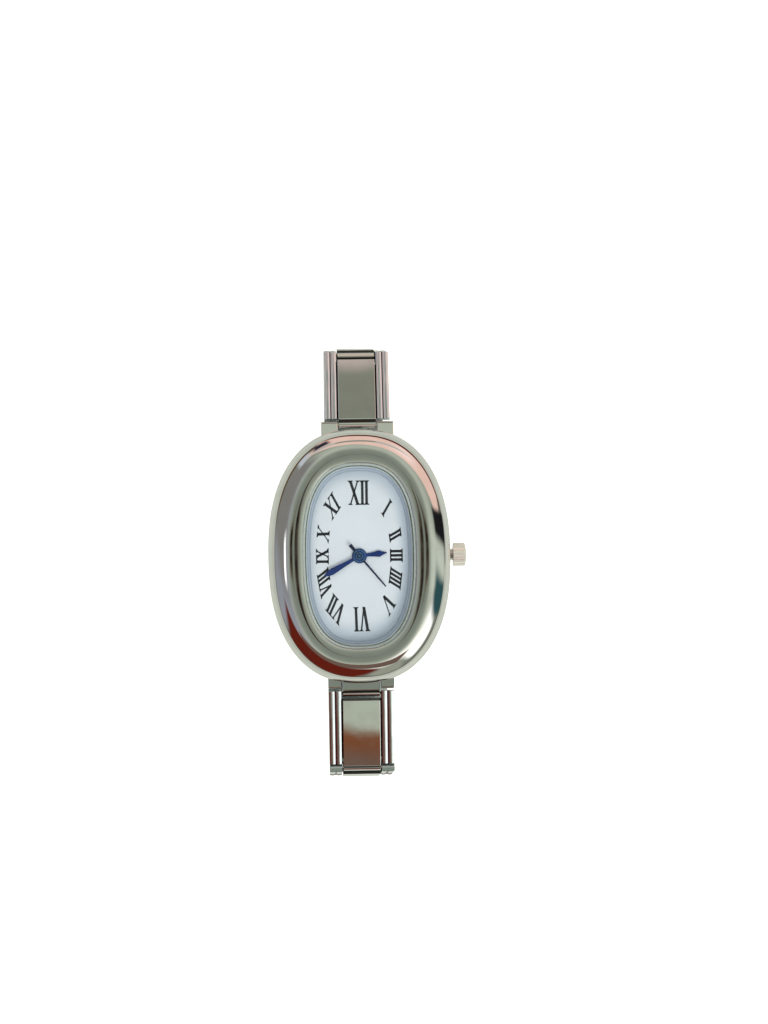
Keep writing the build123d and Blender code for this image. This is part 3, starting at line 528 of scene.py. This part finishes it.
def dress(finish, *names):
    """Gives a finish to nodes that keep their own form."""
    for name in names:
        nodes[name].material_slots[0].material = finish


dress(brushed_metal("brushed_back_steel", (0.74, 0.73, 0.71, 1), (0.60, 0.595, 0.58, 1),
                    (9000, 260, 2500), 0.22, 0.38, 0.004), "case_back")
gasket_rubber = moulded("black_gasket_rubber", (0.012, 0.012, 0.013, 1), (0.03, 0.03, 0.032, 1),
                        2600.0, 0.5, 0.68)
dress(gasket_rubber, "back_gasket")


# The movement: brass plate and bridge with straight graining, gilt train wheels, a copper-wound
# coil on its iron core, a green board, a nickel can and cell, all inside a white moulded holder.
dress(moulded("white_holder_plastic", (0.76, 0.76, 0.74, 1), (0.70, 0.70, 0.68, 1),
              900.0, 0.42, 0.52), "movement_holder")
dress(brushed_metal("grained_plate_brass", (0.80, 0.62, 0.33, 1), (0.66, 0.49, 0.24, 1),
                    (7000, 420, 2500), 0.26, 0.4, 0.004), "main_plate", "train_bridge")
dress(brushed_metal("gilt_wheel_brass", (0.90, 0.70, 0.34, 1), (0.78, 0.57, 0.25, 1),
                    (2600, 5200, 2500), 0.18, 0.3, 0.003),
      "rotor", "intermediate_wheel", "seconds_wheel", "third_wheel", "centre_wheel",
      "minute_wheel", "hour_wheel")
dress(brushed_metal("soft_iron_sheet", (0.50, 0.50, 0.51, 1), (0.38, 0.38, 0.39, 1),
                    (5200, 900, 2500), 0.34, 0.5, 0.003), "coil_core", "stator")
dress(brushed_metal("drawn_nickel_can", (0.78, 0.77, 0.74, 1), (0.66, 0.65, 0.62, 1),
                    (1800, 3600, 3600), 0.16, 0.3, 0.002), "quartz_can", "battery_cell")
dress(brushed_metal("rolled_spring_steel", (0.64, 0.64, 0.63, 1), (0.52, 0.52, 0.51, 1),
                    (900, 6000, 2500), 0.24, 0.38, 0.003), "battery_clip")
dress(brushed_metal("turned_screw_steel", (0.66, 0.66, 0.68, 1), (0.52, 0.52, 0.55, 1),
                    (3000, 3000, 3000), 0.14, 0.26, 0.002),
      "bridge_screws", "stem", "setting_lever")

# A wave node makes a band every 2 pi / 20 of its scale, so this gives one band to each turn.
wire_width = 0.06
wound_copper, copper_skin, copper_place = new_finish("enamelled_copper_winding")
turns_of_wire = copper_place.node(
    "ShaderNodeTexWave", {"wave_type": "BANDS", "bands_direction": "Y"},
    {"Vector": copper_place, "Scale": 2 * pi / 20 / (wire_width * MILLIMETRE), "Distortion": 0.4,
     "Detail": 1.0}, out="Fac")
# Painted shade and highlight: each turn of wire runs from dark copper where it meets the next to
# bright copper on its crown.
plug(turns_of_wire.blend((0.20, 0.055, 0.02, 1), (0.85, 0.36, 0.14, 1)), copper_skin, "Base Color")
plug(turns_of_wire.eased(0.0, 1.0, 0.45, 0.22), copper_skin, "Roughness")
copper_skin.inputs["Metallic"].default_value = 0.85
relieve(copper_skin, turns_of_wire, 0.8, 0.02)
dress(wound_copper, "coil")

track_pitch = 0.5
board_green, board_skin, board_place = new_finish("green_board_mask")
tracks = board_place.node(
    "ShaderNodeTexBrick", {"offset": 0.5},
    {"Vector": board_place, "Scale": 1 / (track_pitch * MILLIMETRE), "Mortar Size": 0.12,
     "Brick Width": 2.2, "Row Height": 0.9}, out="Fac")
plug(tracks.blend((0.01, 0.10, 0.04, 1), (0.05, 0.24, 0.10, 1)), board_skin, "Base Color")
plug(board_place.noise(1500.0, 3.0).eased(0.3, 0.7, 0.28, 0.42), board_skin, "Roughness")
relieve(board_skin, tracks, 0.5, 0.015)
dress(board_green, "circuit_board")


# The dial side: a white enamelled dial, the grey chamfer ring above it, and the numerals, printed
# in black ink. Every numeral stands on the ray from the middle and is sheared along the oval.
dial_top, dial_half_x, dial_half_y = 4.5, 7.3, 12.25
# Painted shade: the dial's colour darkens towards its rim, a little more at the lower right.
shade_shift = (0.35 * MILLIMETRE, -0.35 * MILLIMETRE, 0)

dial_enamel, dial_skin, dial_place = new_finish("white_dial_enamel")
dial_place = dial_place.shifted(shade_shift)
out_x = abs(dial_place.along((1 / (dial_half_x * MILLIMETRE), 0, 0))) ** glass_power
out_y = abs(dial_place.along((0, 1 / (dial_half_y * MILLIMETRE), 0))) ** glass_power
rim_shade_share = (out_x + out_y) ** (1 / glass_power)
dial_speck = dial_place.noise(2600.0, 3.0)
# Painted shade: towards the rim the enamel's pale blue-white is blended to a slate blue.
plug(rim_shade_share.eased(0.72, 0.98).blend((0.70, 0.735, 0.78, 1), (0.44, 0.50, 0.58, 1)),
     dial_skin, "Base Color")
plug(dial_speck.eased(0.3, 0.7, 0.34, 0.42), dial_skin, "Roughness")
dial_skin.inputs["Coat Weight"].default_value = 0.3
relieve(dial_skin, dial_speck, 0.3, 0.003)
dress(dial_enamel, "dial")

# Painted light on the ring from its foot, at 0, to its top, at 1: darker at the foot, and painted
# highlights of two fine turned steps.
ring_rise = 0.55
ring_painted_light = [
    (0.0, (0.20, 0.25, 0.32, 1)), (0.12, (0.36, 0.42, 0.50, 1)), (0.30, (0.30, 0.36, 0.45, 1)),
    (0.40, (0.55, 0.62, 0.68, 1)), (0.50, (0.27, 0.32, 0.40, 1)), (0.78, (0.38, 0.44, 0.52, 1)),
    (0.90, (0.60, 0.67, 0.70, 1)), (1.0, (0.30, 0.35, 0.38, 1))]
ring_paint, ring_skin, ring_place = new_finish("satin_grey_ring")
ring_climb = (ring_place.along((0, 0, 1 / MILLIMETRE)) - dial_top) / ring_rise
plug(ring_climb.node("ShaderNodeValToRGB", {"stops": ring_painted_light}, {0: ring_climb}),
     ring_skin, "Base Color")
plug(ring_climb.eased(0.0, 1.0, 0.34, 0.42), ring_skin, "Roughness")
dress(ring_paint, "dial_ring")

ink, ink_skin, ink_place = new_finish("black_dial_ink")
ink_spread = ink_place.noise(3200.0, 3.0)
plug(ink_spread.eased(0.3, 0.75).blend((0.004, 0.005, 0.012, 1), (0.012, 0.014, 0.028, 1)),
     ink_skin, "Base Color")
plug(ink_spread.eased(0.3, 0.7, 0.35, 0.5), ink_skin, "Roughness")

# Ovals through the numerals' heads, feet and middles: half width, half length and power.
numeral_outer, numeral_inner, numeral_middle = (5.95, 10.35, 2.3), (4.2, 7.0, 2.8), (5.07, 8.7, 2.5)
thick_stroke, thin_stroke, serif_over, serif_thick = 0.36, 0.20, 0.19, 0.10
stroke_pitch, letter_gap, wide_letter_gap = 0.575, 0.42, 0.06
slant_thick, v_tuck, x_tuck = thick_stroke * 1.1, 0.08, 0.06
ink_rise, ink_sink = 0.012, 0.004
# Each numeral with the width of its V or X in millimetres, and the turn from 12 o'clock in degrees
# that its middle stands at. On an oval dial that isn't always its hour's turn.
numerals = [("I", 0, 30.5), ("II", 0, 60.5), ("III", 0, 90), ("IIII", 0, 122.5), ("V", 1.5, 150),
            ("VI", 1.05, 178.6), ("VII", 1.15, 204.6), ("VIII", 1.05, 233), ("IX", 1.0, 270.3),
            ("X", 1.2, 302), ("XI", 1.15, 332), ("XII", 1.15, 0)]


def oval_reach(oval, turn):
    """The point where the ray at a turn, clockwise from 12 o'clock, meets an oval."""
    half_x, half_y, power = oval
    x, y = sin(turn), cos(turn)
    reach = (abs(x / half_x) ** power + abs(y / half_y) ** power) ** (-1 / power)
    return Vector((x * reach, y * reach))


def stroke(start, end, width):
    """One pen stroke from foot to head as across and up points, cut level at both ends."""
    half = width / 2
    return [(start - half, 0), (start + half, 0), (end + half, 1), (end - half, 1)]


def serif(across, level, width, tall):
    """A bracketed serif on a stroke's end, as a bar that swells into the stroke."""
    inward = serif_thick / tall * (1 if level == 0 else -1)
    half, reach = width / 2, width / 2 + serif_over
    bar, bracket = level + inward * 0.7, level + inward * 2.3
    return [(across - reach, level), (across + reach, level), (across + reach, bar),
            (across + half, bracket), (across - half, bracket), (across - reach, bar)]


def numeral_strokes(letters, wide, tall):
    """All strokes of a numeral, centred across, from its foot at 0 to its head at 1."""
    steps, across = [], 0.0
    for at, letter in enumerate(letters):
        step = stroke_pitch if letter == "I" else wide + letter_gap
        if at and (letter != "I" or letters[at - 1] != "I"):
            across += wide_letter_gap
        steps.append((letter, across + step / 2))
        across += step
    shapes = []
    for letter, middle in steps:
        middle -= across / 2
        if letter == "I":
            shapes.append(stroke(middle, middle, thick_stroke))
            feet = [(middle, 0, thick_stroke), (middle, 1, thick_stroke)]
        if letter == "V":
            left, right = middle - wide / 2 + v_tuck, middle + wide / 2 - v_tuck
            shapes += [stroke(middle, left, slant_thick), stroke(middle, right, thin_stroke)]
            feet = [(left, 1, thick_stroke), (right, 1, thin_stroke)]
        if letter == "X":
            left, right = middle - wide / 2 + x_tuck, middle + wide / 2 - x_tuck
            shapes += [stroke(right, left, slant_thick), stroke(left, right, thin_stroke)]
            feet = [(left, 0, thin_stroke), (right, 1, thin_stroke), (right, 0, thick_stroke),
                    (left, 1, thick_stroke)]
        shapes += [serif(spot, level, width, tall) for spot, level, width in feet]
    return shapes


print_form = bmesh.new()
for letters, wide, stands_at in numerals:
    turn = radians(stands_at)
    foot, head_point = oval_reach(numeral_inner, turn), oval_reach(numeral_outer, turn)
    middle = oval_reach(numeral_middle, turn)
    half_x, half_y, power = numeral_middle
    slope = Vector((abs(middle.x) ** (power - 1) / half_x ** power * (1 if middle.x > 0 else -1),
                    abs(middle.y) ** (power - 1) / half_y ** power * (1 if middle.y > 0 else -1)))
    slope.normalize()
    clockwise = Vector((slope.y, -slope.x))
    rise = head_point - foot
    for shape in numeral_strokes(letters, wide, rise.length):
        corners = [foot + rise * up + clockwise * across for across, up in shape]
        skinned(print_form, [[print_form.verts.new((*corner, level)) for corner in corners]
                             for level in (dial_top - ink_sink, dial_top + ink_rise)])
add_piece("dial_numerals", joined_mesh("dial_numerals", [print_form], sharp_angle=20),
          "head", "black_rubber", ink)


# The hands: stamped from thin steel sheet with eased edges, and lacquered blue. Each is riveted to
# a round hub, and the hubs stand on each other round the middle, the second hand's cap on top.
hand_thickness, hand_ease, narrowest_half = 0.12, 0.035, 0.004
hub_stand, hub_rim, hub_ring_pitch = 0.03, 0.08, 18.0


def lacquered_hand(name, light, dark, ring_highlight):
    """Blue lacquer over steel, with a dipped coat's faint mottle and painted highlight rings on the
    hub.
    """
    material, skin, place = new_finish(name)
    mottle = place.noise(1500.0, 3.0)
    across, up = place.along((1 / MILLIMETRE, 0, 0)), place.along((0, 1 / MILLIMETRE, 0))
    from_axis = (across * across + up * up) ** 0.5
    swing = from_axis * hub_ring_pitch
    # Painted highlights: light teal rings round the hands' axis, standing in for light on the hub's
    # turned rims.
    hub_highlight_rings = swing.maths("SINE", swing).eased(-0.2, 0.9) * from_axis.eased(1.1, 0.95)
    plug(hub_highlight_rings.blend(mottle.eased(0.3, 0.7).blend(light, dark), ring_highlight),
         skin, "Base Color")
    plug(mottle.eased(0.3, 0.7, 0.2, 0.32), skin, "Roughness")
    skin.inputs["Metallic"].default_value = 0.55
    skin.inputs["Coat Weight"].default_value = 0.6
    return material


def hand_form(outline, low, turn):
    """A flat hand from its distances along and half widths there, eased along its upper edge."""
    form = bmesh.new()
    loop = ([(half, along) for along, half in outline]
            + [(-half, along) for along, half in reversed(outline)])
    turned = Matrix.Rotation(-radians(turn), 2)
    rings = []
    for level, ease in ((low, 0.0), (low + hand_thickness - hand_ease, 0.0),
                        (low + hand_thickness, hand_ease)):
        ring = []
        for x, y in loop:
            eased_x = max(abs(x) - ease, narrowest_half) * (1 if x > 0 else -1)
            spot = turned @ Vector((eased_x, y - (ease if y == outline[-1][0] else 0)))
            ring.append(form.verts.new((spot.x, spot.y, level)))
        rings.append(ring)
    return skinned(form, rings)


def hub_form(radius, bore, low, sides=48):
    """A hub turned on the hands' axis: flat below, bored for its pipe, its upper rim rounded."""
    top = low + hand_thickness + hub_stand
    section = [(bore, low), (radius, low)]
    for step in range(6):
        a = radians(90) * step / 5
        section.append((radius - hub_rim + hub_rim * cos(a), top - hub_rim + hub_rim * sin(a)))
    section.append((bore, top))
    form = bmesh.new()
    rings = [[form.verts.new((reach * cos(2 * pi * side / sides),
                              reach * sin(2 * pi * side / sides), level))
              for side in range(sides)] for reach, level in section]
    return skinned(form, rings, closed=True)


hub_highlight_teal = (0.07, 0.20, 0.36, 1)
hand_blue = lacquered_hand("royal_blue_lacquer", (0.012, 0.055, 0.30, 1), (0.008, 0.03, 0.17, 1),
                           hub_highlight_teal)
second_blue = lacquered_hand("navy_lacquer", (0.008, 0.02, 0.10, 1), (0.006, 0.012, 0.06, 1),
                             hub_highlight_teal)
hour_low, minute_low, second_low = 4.656, 4.916, 5.176
hour_outline = [(0.6, 0.225), (1.2, 0.225), (1.75, 0.28), (2.736, 0.44), (3.2, 0.25), (3.8, 0.03)]
minute_outline = [(0.4, 0.23), (1.2, 0.235), (2.6, 0.32), (4.256, 0.46), (4.9, 0.36), (5.45, 0.13),
                  (5.6, 0.03)]
second_outline = [(-2.0, 0.26), (-0.3, 0.17), (0.3, 0.14), (5.5, 0.10)]
# Each hand with its body, slot and finish, outline, hub and bore radius, height and turn.
for name, body, slot, finish, outline, hub, bore, low, turn in (
        ("hour_hand", "hours", "blue_hands", hand_blue, hour_outline, 1.03, 0.46, hour_low, 84),
        ("minute_hand", "minutes", "blue_hands", hand_blue, minute_outline, 0.75, 0.3,
         minute_low, 241),
        ("second_hand", "seconds", "navy_hand", second_blue, second_outline, 0.42, 0.03,
         second_low, 140)):
    forms = [hand_form(outline, low, turn), hub_form(hub, bore, low)]
    hand_mesh = joined_mesh(name + "_blued", forms, sharp_angle=30)
    add_piece(name + "_blued", hand_mesh, body, slot, finish, name)


# The glass: a low-domed mineral glass, pressed into a pale plastic gasket in the case's opening.
gasket_inner, glass_edge_height, glass_dome, edge_chamfer = 5.07, 6.6, 0.3, 0.06
clear, clear_skin, clear_place = new_finish("clear_glass")
facing = clear_place.node("ShaderNodeLayerWeight", inputs={"Blend": 0.5}, out="Facing")
smear = clear_place.noise(240.0, 4.0)
mirror_share = facing ** 5 * 0.9 + smear.eased(0.3, 0.8, 0.03, 0.05)
see_through = clear_place.node(
    "ShaderNodeBsdfTransparent", inputs={"Color": (0.985, 0.995, 0.99, 1)}, out="BSDF")
gloss = clear_place.node("ShaderNodeBsdfGlossy", inputs={"Roughness": 0.02}, out="BSDF")
glass_mix = clear_place.node(
    "ShaderNodeMixShader", inputs={0: mirror_share, 1: see_through, 2: gloss}, out="Shader")
plug(glass_mix, clear.node_tree.nodes["Material Output"], "Surface")
clear.node_tree.nodes.remove(clear_skin)

# The glass from the middle of its dome over its edge to the middle of its flat underside, as
# shares of its outline and heights.
glass_steps = 160
glass_levels = [(share, glass_edge_height + glass_dome * (1 - share ** 2)) for share in
                (0.08, 0.2, 0.34, 0.48, 0.62, 0.74, 0.84, 0.92, 0.97)]
glass_levels += [(0.992, glass_edge_height), (1.0, glass_edge_height - edge_chamfer),
                 (1.0, glass_seat + edge_chamfer), (0.992, glass_seat), (0.5, glass_seat),
                 (0.08, glass_seat)]
glass_form = bmesh.new()
glass_rings = []
for share, level in glass_levels:
    ring = []
    for step in range(glass_steps):
        x, y = oval_point(gasket_inner, glass_power, 2 * pi * step / glass_steps)
        ring.append(glass_form.verts.new((x * share, y * share, level)))
    glass_rings.append(ring)
glass_mesh = joined_mesh("crystal_glass", [skinned(glass_form, glass_rings)], sharp_angle=30)
add_piece("crystal_glass", glass_mesh, "head", "clear_glass", clear, "crystal")

gasket_pale, gasket_skin, gasket_place = new_finish("pale_gasket_plastic")
gasket_grain = gasket_place.noise(2000.0, 3.0)
plug(gasket_grain.eased(0.3, 0.7).blend((0.40, 0.45, 0.41, 1), (0.46, 0.51, 0.46, 1)),
     gasket_skin, "Base Color")
plug(gasket_grain.eased(0.3, 0.7, 0.3, 0.42), gasket_skin, "Roughness")
gasket_skin.inputs["Subsurface Weight"].default_value = 0.1
dress(gasket_pale, "crystal_gasket")


# The crown: turned steel with a champagne flash of plating, twenty rounded flutes for the fingers
# and a low dome. It runs on a steel tube pressed into the case, sealed by a rubber ring.
crown_plating = buffed_steel("champagne_crown_plating", (0.90, 0.86, 0.78, 1),
                             (0.84, 0.79, 0.70, 1), 0.07, 0.14, 0.02)
crown_plating.node_tree.nodes["Principled BSDF"].inputs["Metallic"].default_value = 0.6
dress(crown_plating, "crown")
dress(brushed_metal("turned_tube_steel", (0.62, 0.61, 0.60, 1), (0.48, 0.47, 0.46, 1),
                    (9000, 400, 400), 0.2, 0.32, 0.003), "crown_tube")
dress(gasket_rubber, "crown_gasket")


# The bracelet: thirteen alike links, each a steel frame of two twin-ridged rails on a floor, with a
# mirror-polished plate between them. A round tongue on the plate turns on the neighbour's pin. A
# link's own frame starts at that pin, with the link along y. Sizes are in millimetres.
rail_inner, link_half, plate_half, link_pitch = 2.725, 4.5, 2.575, 10.5
rail_start, rail_end, plate_end = 0.6, 10.9, 9.6
rail_below, rail_above, plate_below, plate_above = 1.35, 0.65, 0.85, 0.9
ridge_sag, ridge_steps, hole_radius, groove_half = 0.11, 10, 0.25, 0.06
rail_rounding, floor_rounding, plate_rounding = 0.05, 0.04, 0.055
rail_middle = (rail_inner + link_half) / 2
end_bevel = rail_below * tan(radians(end_slant))
link_sharp_angle = 10


def sooted(material, gap_shade_colour, dulled):
    """Paints shade on the faces that a mesh marks as lying in a gap, and dulls them where no buff
    reaches.
    """
    tree = material.node_tree
    skin = tree.nodes["Principled BSDF"]
    gap = Wire(tree).node("ShaderNodeAttribute", {"attribute_name": "in_gap"}, out="Fac")
    unshaded_colour = Wire(tree, skin.inputs["Base Color"].links[0].from_socket)
    plug(gap.blend(unshaded_colour, gap_shade_colour), skin, "Base Color")
    clean_gloss = Wire(tree, skin.inputs["Roughness"].links[0].from_socket)
    plug(clean_gloss * (1 - gap) + gap * dulled, skin, "Roughness")
    return material


def mark_gap(mesh, lies_in_gap):
    """Marks each face of a mesh, by its middle and the way it faces, as lying in a gap or not."""
    marks = mesh.attributes.new("in_gap", "FLOAT", "FACE")
    for face in mesh.polygons:
        marks.data[face.index].value = float(lies_in_gap(face.center / MILLIMETRE, face.normal))


# Painted shade: the dark colour given to faces that lie in a gap.
painted_gap_shade = (0.06, 0.058, 0.055, 1)
# Painted reflection colour: the frames' steel is tinted blue-grey so that the rails reflect grey
# rather than rose.
link_steel = sooted(buffed_steel("buffed_link_steel", (0.72, 0.77, 0.795, 1),
                                 (0.67, 0.72, 0.745, 1), 0.07, 0.12, 0.03), painted_gap_shade, 0.45)
plate_steel = sooted(buffed_steel("buffed_plate_steel", (0.80, 0.80, 0.775, 1),
                                  (0.75, 0.75, 0.73, 1), 0.02, 0.04, 0.003), painted_gap_shade, 0.45)


def rail_form(side):
    """One rail: two rounded ridges side by side, slanted below at both ends."""
    form = bmesh.new()
    ridge_width = (link_half - rail_inner) / 2
    bend = (ridge_width ** 2 / 4 + ridge_sag ** 2) / (2 * ridge_sag)
    rows = []
    for ridge, steps in ((0, ridge_steps), (1, ridge_steps + 1)):
        for step in range(steps):
            off = ridge_width * step / ridge_steps - ridge_width / 2
            x = round(rail_inner + ridge_width * (ridge + 0.5) + off, 6)
            lift = round(sqrt(bend ** 2 - off ** 2) - (bend - ridge_sag), 6)
            top = rail_above - ridge_sag + max(lift, 0)
            outline = [(rail_start + end_bevel, -rail_below), (rail_start, 0), (rail_start, top),
                       (rail_end, top), (rail_end, 0), (rail_end - end_bevel, -rail_below)]
            rows.append([form.verts.new((side * x, y, z)) for y, z in outline])
    skinned(form, rows)
    # The rail's crisp edges are eased, but not the groove between the ridges.
    crisp = [edge for edge in form.edges if edge.calc_face_angle(0) > radians(35)]
    eased = [edge for edge in crisp if edge.verts[0].co.x != edge.verts[1].co.x
             or abs(abs(edge.verts[0].co.x) - rail_middle) > 0.1]
    bmesh.ops.bevel(form, geom=eased, offset=rail_rounding, offset_type="OFFSET", segments=2,
                    profile=0.5, affect="EDGES", clamp_overlap=False)
    return form


def frame_gap(middle, facing):
    """On a frame, the groove between two ridges and the trough under the plate."""
    in_groove = abs(abs(middle.x) - rail_middle) < groove_half and middle.z > 0.3
    in_trough = abs(middle.x) < rail_inner + 0.03 and middle.z > -rail_below + 0.06
    return in_groove or in_trough and (abs(facing.x) > 0.5 or facing.z > 0.5)


floor_half = rail_inner + 0.02
floor_side = [(rail_start + end_bevel, -rail_below),
              (rail_start + end_bevel * plate_below / rail_below, -plate_below),
              (plate_end, -plate_below), (plate_end, -rail_below)]
frame_mesh = joined_mesh("link_frame_form", [
    rail_form(-1), rail_form(1), closed_slab(floor_side, -floor_half, floor_half, floor_rounding),
    rod_form(pin_radius, pin_half, link_pitch, 0)], link_sharp_angle)
mark_gap(frame_mesh, frame_gap)


def plate_form(open_tongue):
    """The plate from the side, its tongue round, or cut open to a saddle for the last link."""
    if open_tongue:
        tongue = [(0.0, -tongue_radius), *arc_points(0, 0, hole_radius, -90, 90, 16),
                  (0.0, tongue_radius)]
    else:
        tongue = arc_points(0, 0, tongue_radius, -90, -270, 24)
    outline = [(rail_start + end_bevel * plate_below / rail_below, -plate_below),
               (rail_start, -tongue_radius), *tongue, (tongue_radius, plate_above),
               (plate_end, plate_above), (plate_end, -plate_below)]
    return closed_slab(outline, -plate_half, plate_half, plate_rounding)


def bored(mesh):
    """A plate's mesh with the pin's hole drilled across its tongue."""
    drill_form = rod_form(hole_radius, plate_half + 1, 0.0, 0.0)
    drill_mesh = joined_mesh("pin_drill", [drill_form], sharp_angle=30)
    blank, drill = bpy.data.objects.new("blank", mesh), bpy.data.objects.new("drill", drill_mesh)
    for tool in (blank, drill):
        bpy.context.collection.objects.link(tool)
    cut = blank.modifiers.new("pin_hole", "BOOLEAN")
    cut.operation, cut.object, cut.solver = "DIFFERENCE", drill, "EXACT"
    depsgraph = bpy.context.evaluated_depsgraph_get()
    drilled = bpy.data.meshes.new_from_object(blank.evaluated_get(depsgraph))
    for tool in (blank, drill):
        bpy.data.objects.remove(tool)
    return drilled


def plate_gap(middle, facing):
    """On a plate, its two sides, its far end and the step down to its tongue."""
    return (abs(facing.x) > 0.9 or middle.y > plate_end - 0.03
            or middle.y < 0.6 and 0.5 < middle.z < 0.8)


plate_mesh = bored(joined_mesh("link_plate_form", [plate_form(False)], link_sharp_angle))
open_plate_mesh = joined_mesh("open_plate_form", [plate_form(True)], link_sharp_angle)
mark_gap(plate_mesh, plate_gap)
mark_gap(open_plate_mesh, plate_gap)

# The tree that sets a link in the loop: its form is shifted to its hinge's pin, leant and moved.
setting = bpy.data.node_groups.new("link_setting", "GeometryNodeTree")
for socket_name, kind in (("Form", "NodeSocketObject"), ("Pin", "NodeSocketVector"),
                          ("Hinge", "NodeSocketVector"), ("Lean", "NodeSocketFloat"),
                          ("Finish", "NodeSocketMaterial")):
    setting.interface.new_socket(name=socket_name, in_out="INPUT", socket_type=kind)
setting.interface.new_socket(name="Geometry", in_out="OUTPUT", socket_type="NodeSocketGeometry")
given, fetched, shifted, spot, lean_vector, stood, made_real, coated, result = [
    setting.nodes.new(kind) for kind in (
        "NodeGroupInput", "GeometryNodeObjectInfo", "GeometryNodeTransform", "GeometryNodePoints",
        "ShaderNodeCombineXYZ", "GeometryNodeInstanceOnPoints", "GeometryNodeRealizeInstances",
        "GeometryNodeSetMaterial", "NodeGroupOutput")]
spot.inputs["Count"].default_value = 1
for source, target in ((given.outputs["Form"], fetched.inputs["Object"]),
                       (fetched.outputs["Geometry"], shifted.inputs["Geometry"]),
                       (given.outputs["Pin"], shifted.inputs["Translation"]),
                       (given.outputs["Hinge"], spot.inputs["Position"]),
                       (given.outputs["Lean"], lean_vector.inputs["X"]),
                       (spot.outputs[0], stood.inputs["Points"]),
                       (shifted.outputs["Geometry"], stood.inputs["Instance"]),
                       (lean_vector.outputs[0], stood.inputs["Rotation"]),
                       (stood.outputs["Instances"], made_real.inputs["Geometry"]),
                       (made_real.outputs["Geometry"], coated.inputs["Geometry"]),
                       (given.outputs["Finish"], coated.inputs["Material"]),
                       (coated.outputs["Geometry"], result.inputs["Geometry"])):
    setting.links.new(source, target)
setting_ids = {item.name: item.identifier for item in setting.interface.items_tree
               if item.in_out == "INPUT"}


def set_link(name, form, pin, hinge, lean, finish):
    """One link piece, set in the loop by the tree and turned into a plain mesh."""
    holder = bpy.data.objects.new(name + "_holder", bpy.data.meshes.new(name + "_blank"))
    bpy.context.collection.objects.link(holder)
    grown = holder.modifiers.new("setting", "NODES")
    grown.node_group = setting
    for socket_name, value in (("Form", form), ("Pin", pin), ("Hinge", hinge), ("Lean", lean),
                               ("Finish", finish)):
        grown[setting_ids[socket_name]] = value
    depsgraph = bpy.context.evaluated_depsgraph_get()
    mesh = bpy.data.meshes.new_from_object(holder.evaluated_get(depsgraph))
    mesh.name = name
    bpy.data.objects.remove(holder)
    mesh.set_sharp_from_angle(angle=radians(link_sharp_angle))
    return mesh


form_objects = {}
for kind, form_mesh in (("frame", frame_mesh), ("plate", plate_mesh),
                        ("open_plate", open_plate_mesh)):
    form_objects[kind] = bpy.data.objects.new(kind + "_form", form_mesh)
    bpy.context.collection.objects.link(form_objects[kind])

# Each link's hinge along and up, and its lean down from level, in millimetres and degrees.
upper_hinges = [(18.15, 2.6, 22), (27.8854, -1.3334, 84), (28.983, -11.7758, 95.2801),
                (28.0167, -22.2313, 119.2254), (22.8901, -31.3947, 143.1707),
                (14.4856, -37.6887, 167.116), (4.25, -40.03, 180)]
lower_hinges = [(-18.9, 2.6, 8), (-29.2978, 1.1387, 82), (-30.7591, -9.2591, 100.9306),
                (-28.7681, -19.5686, 119.3352), (-23.624, -28.7222, 137.7398),
                (-15.853, -35.7834, 156.1444)]
# An upper link hangs by its tongue on the link before it, a lower link by its far pin.
for chain, hinges, sign, pin in (
        ("upper_link_", upper_hinges, -1, (0.0, 0.0, 0.0)),
        ("lower_link_", lower_hinges, 1, (0.0, -link_pitch * MILLIMETRE, 0.0))):
    for number, (y, z, lean) in enumerate(hinges, start=1):
        name = chain + str(number)
        hinge = (0.0, y * MILLIMETRE, z * MILLIMETRE)
        plate_kind = "open_plate" if name == "lower_link_6" else "plate"
        for part, kind, finish in (("_frame", "frame", link_steel),
                                   ("_plate", plate_kind, plate_steel)):
            mesh = set_link(name + part + "_steel", form_objects[kind], pin, hinge,
                            sign * radians(lean), finish)
            add_piece(name + part + "_steel", mesh, name, "link_steel", finish, name + part)
for form_object in form_objects.values():
    bpy.data.objects.remove(form_object)


low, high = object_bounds()
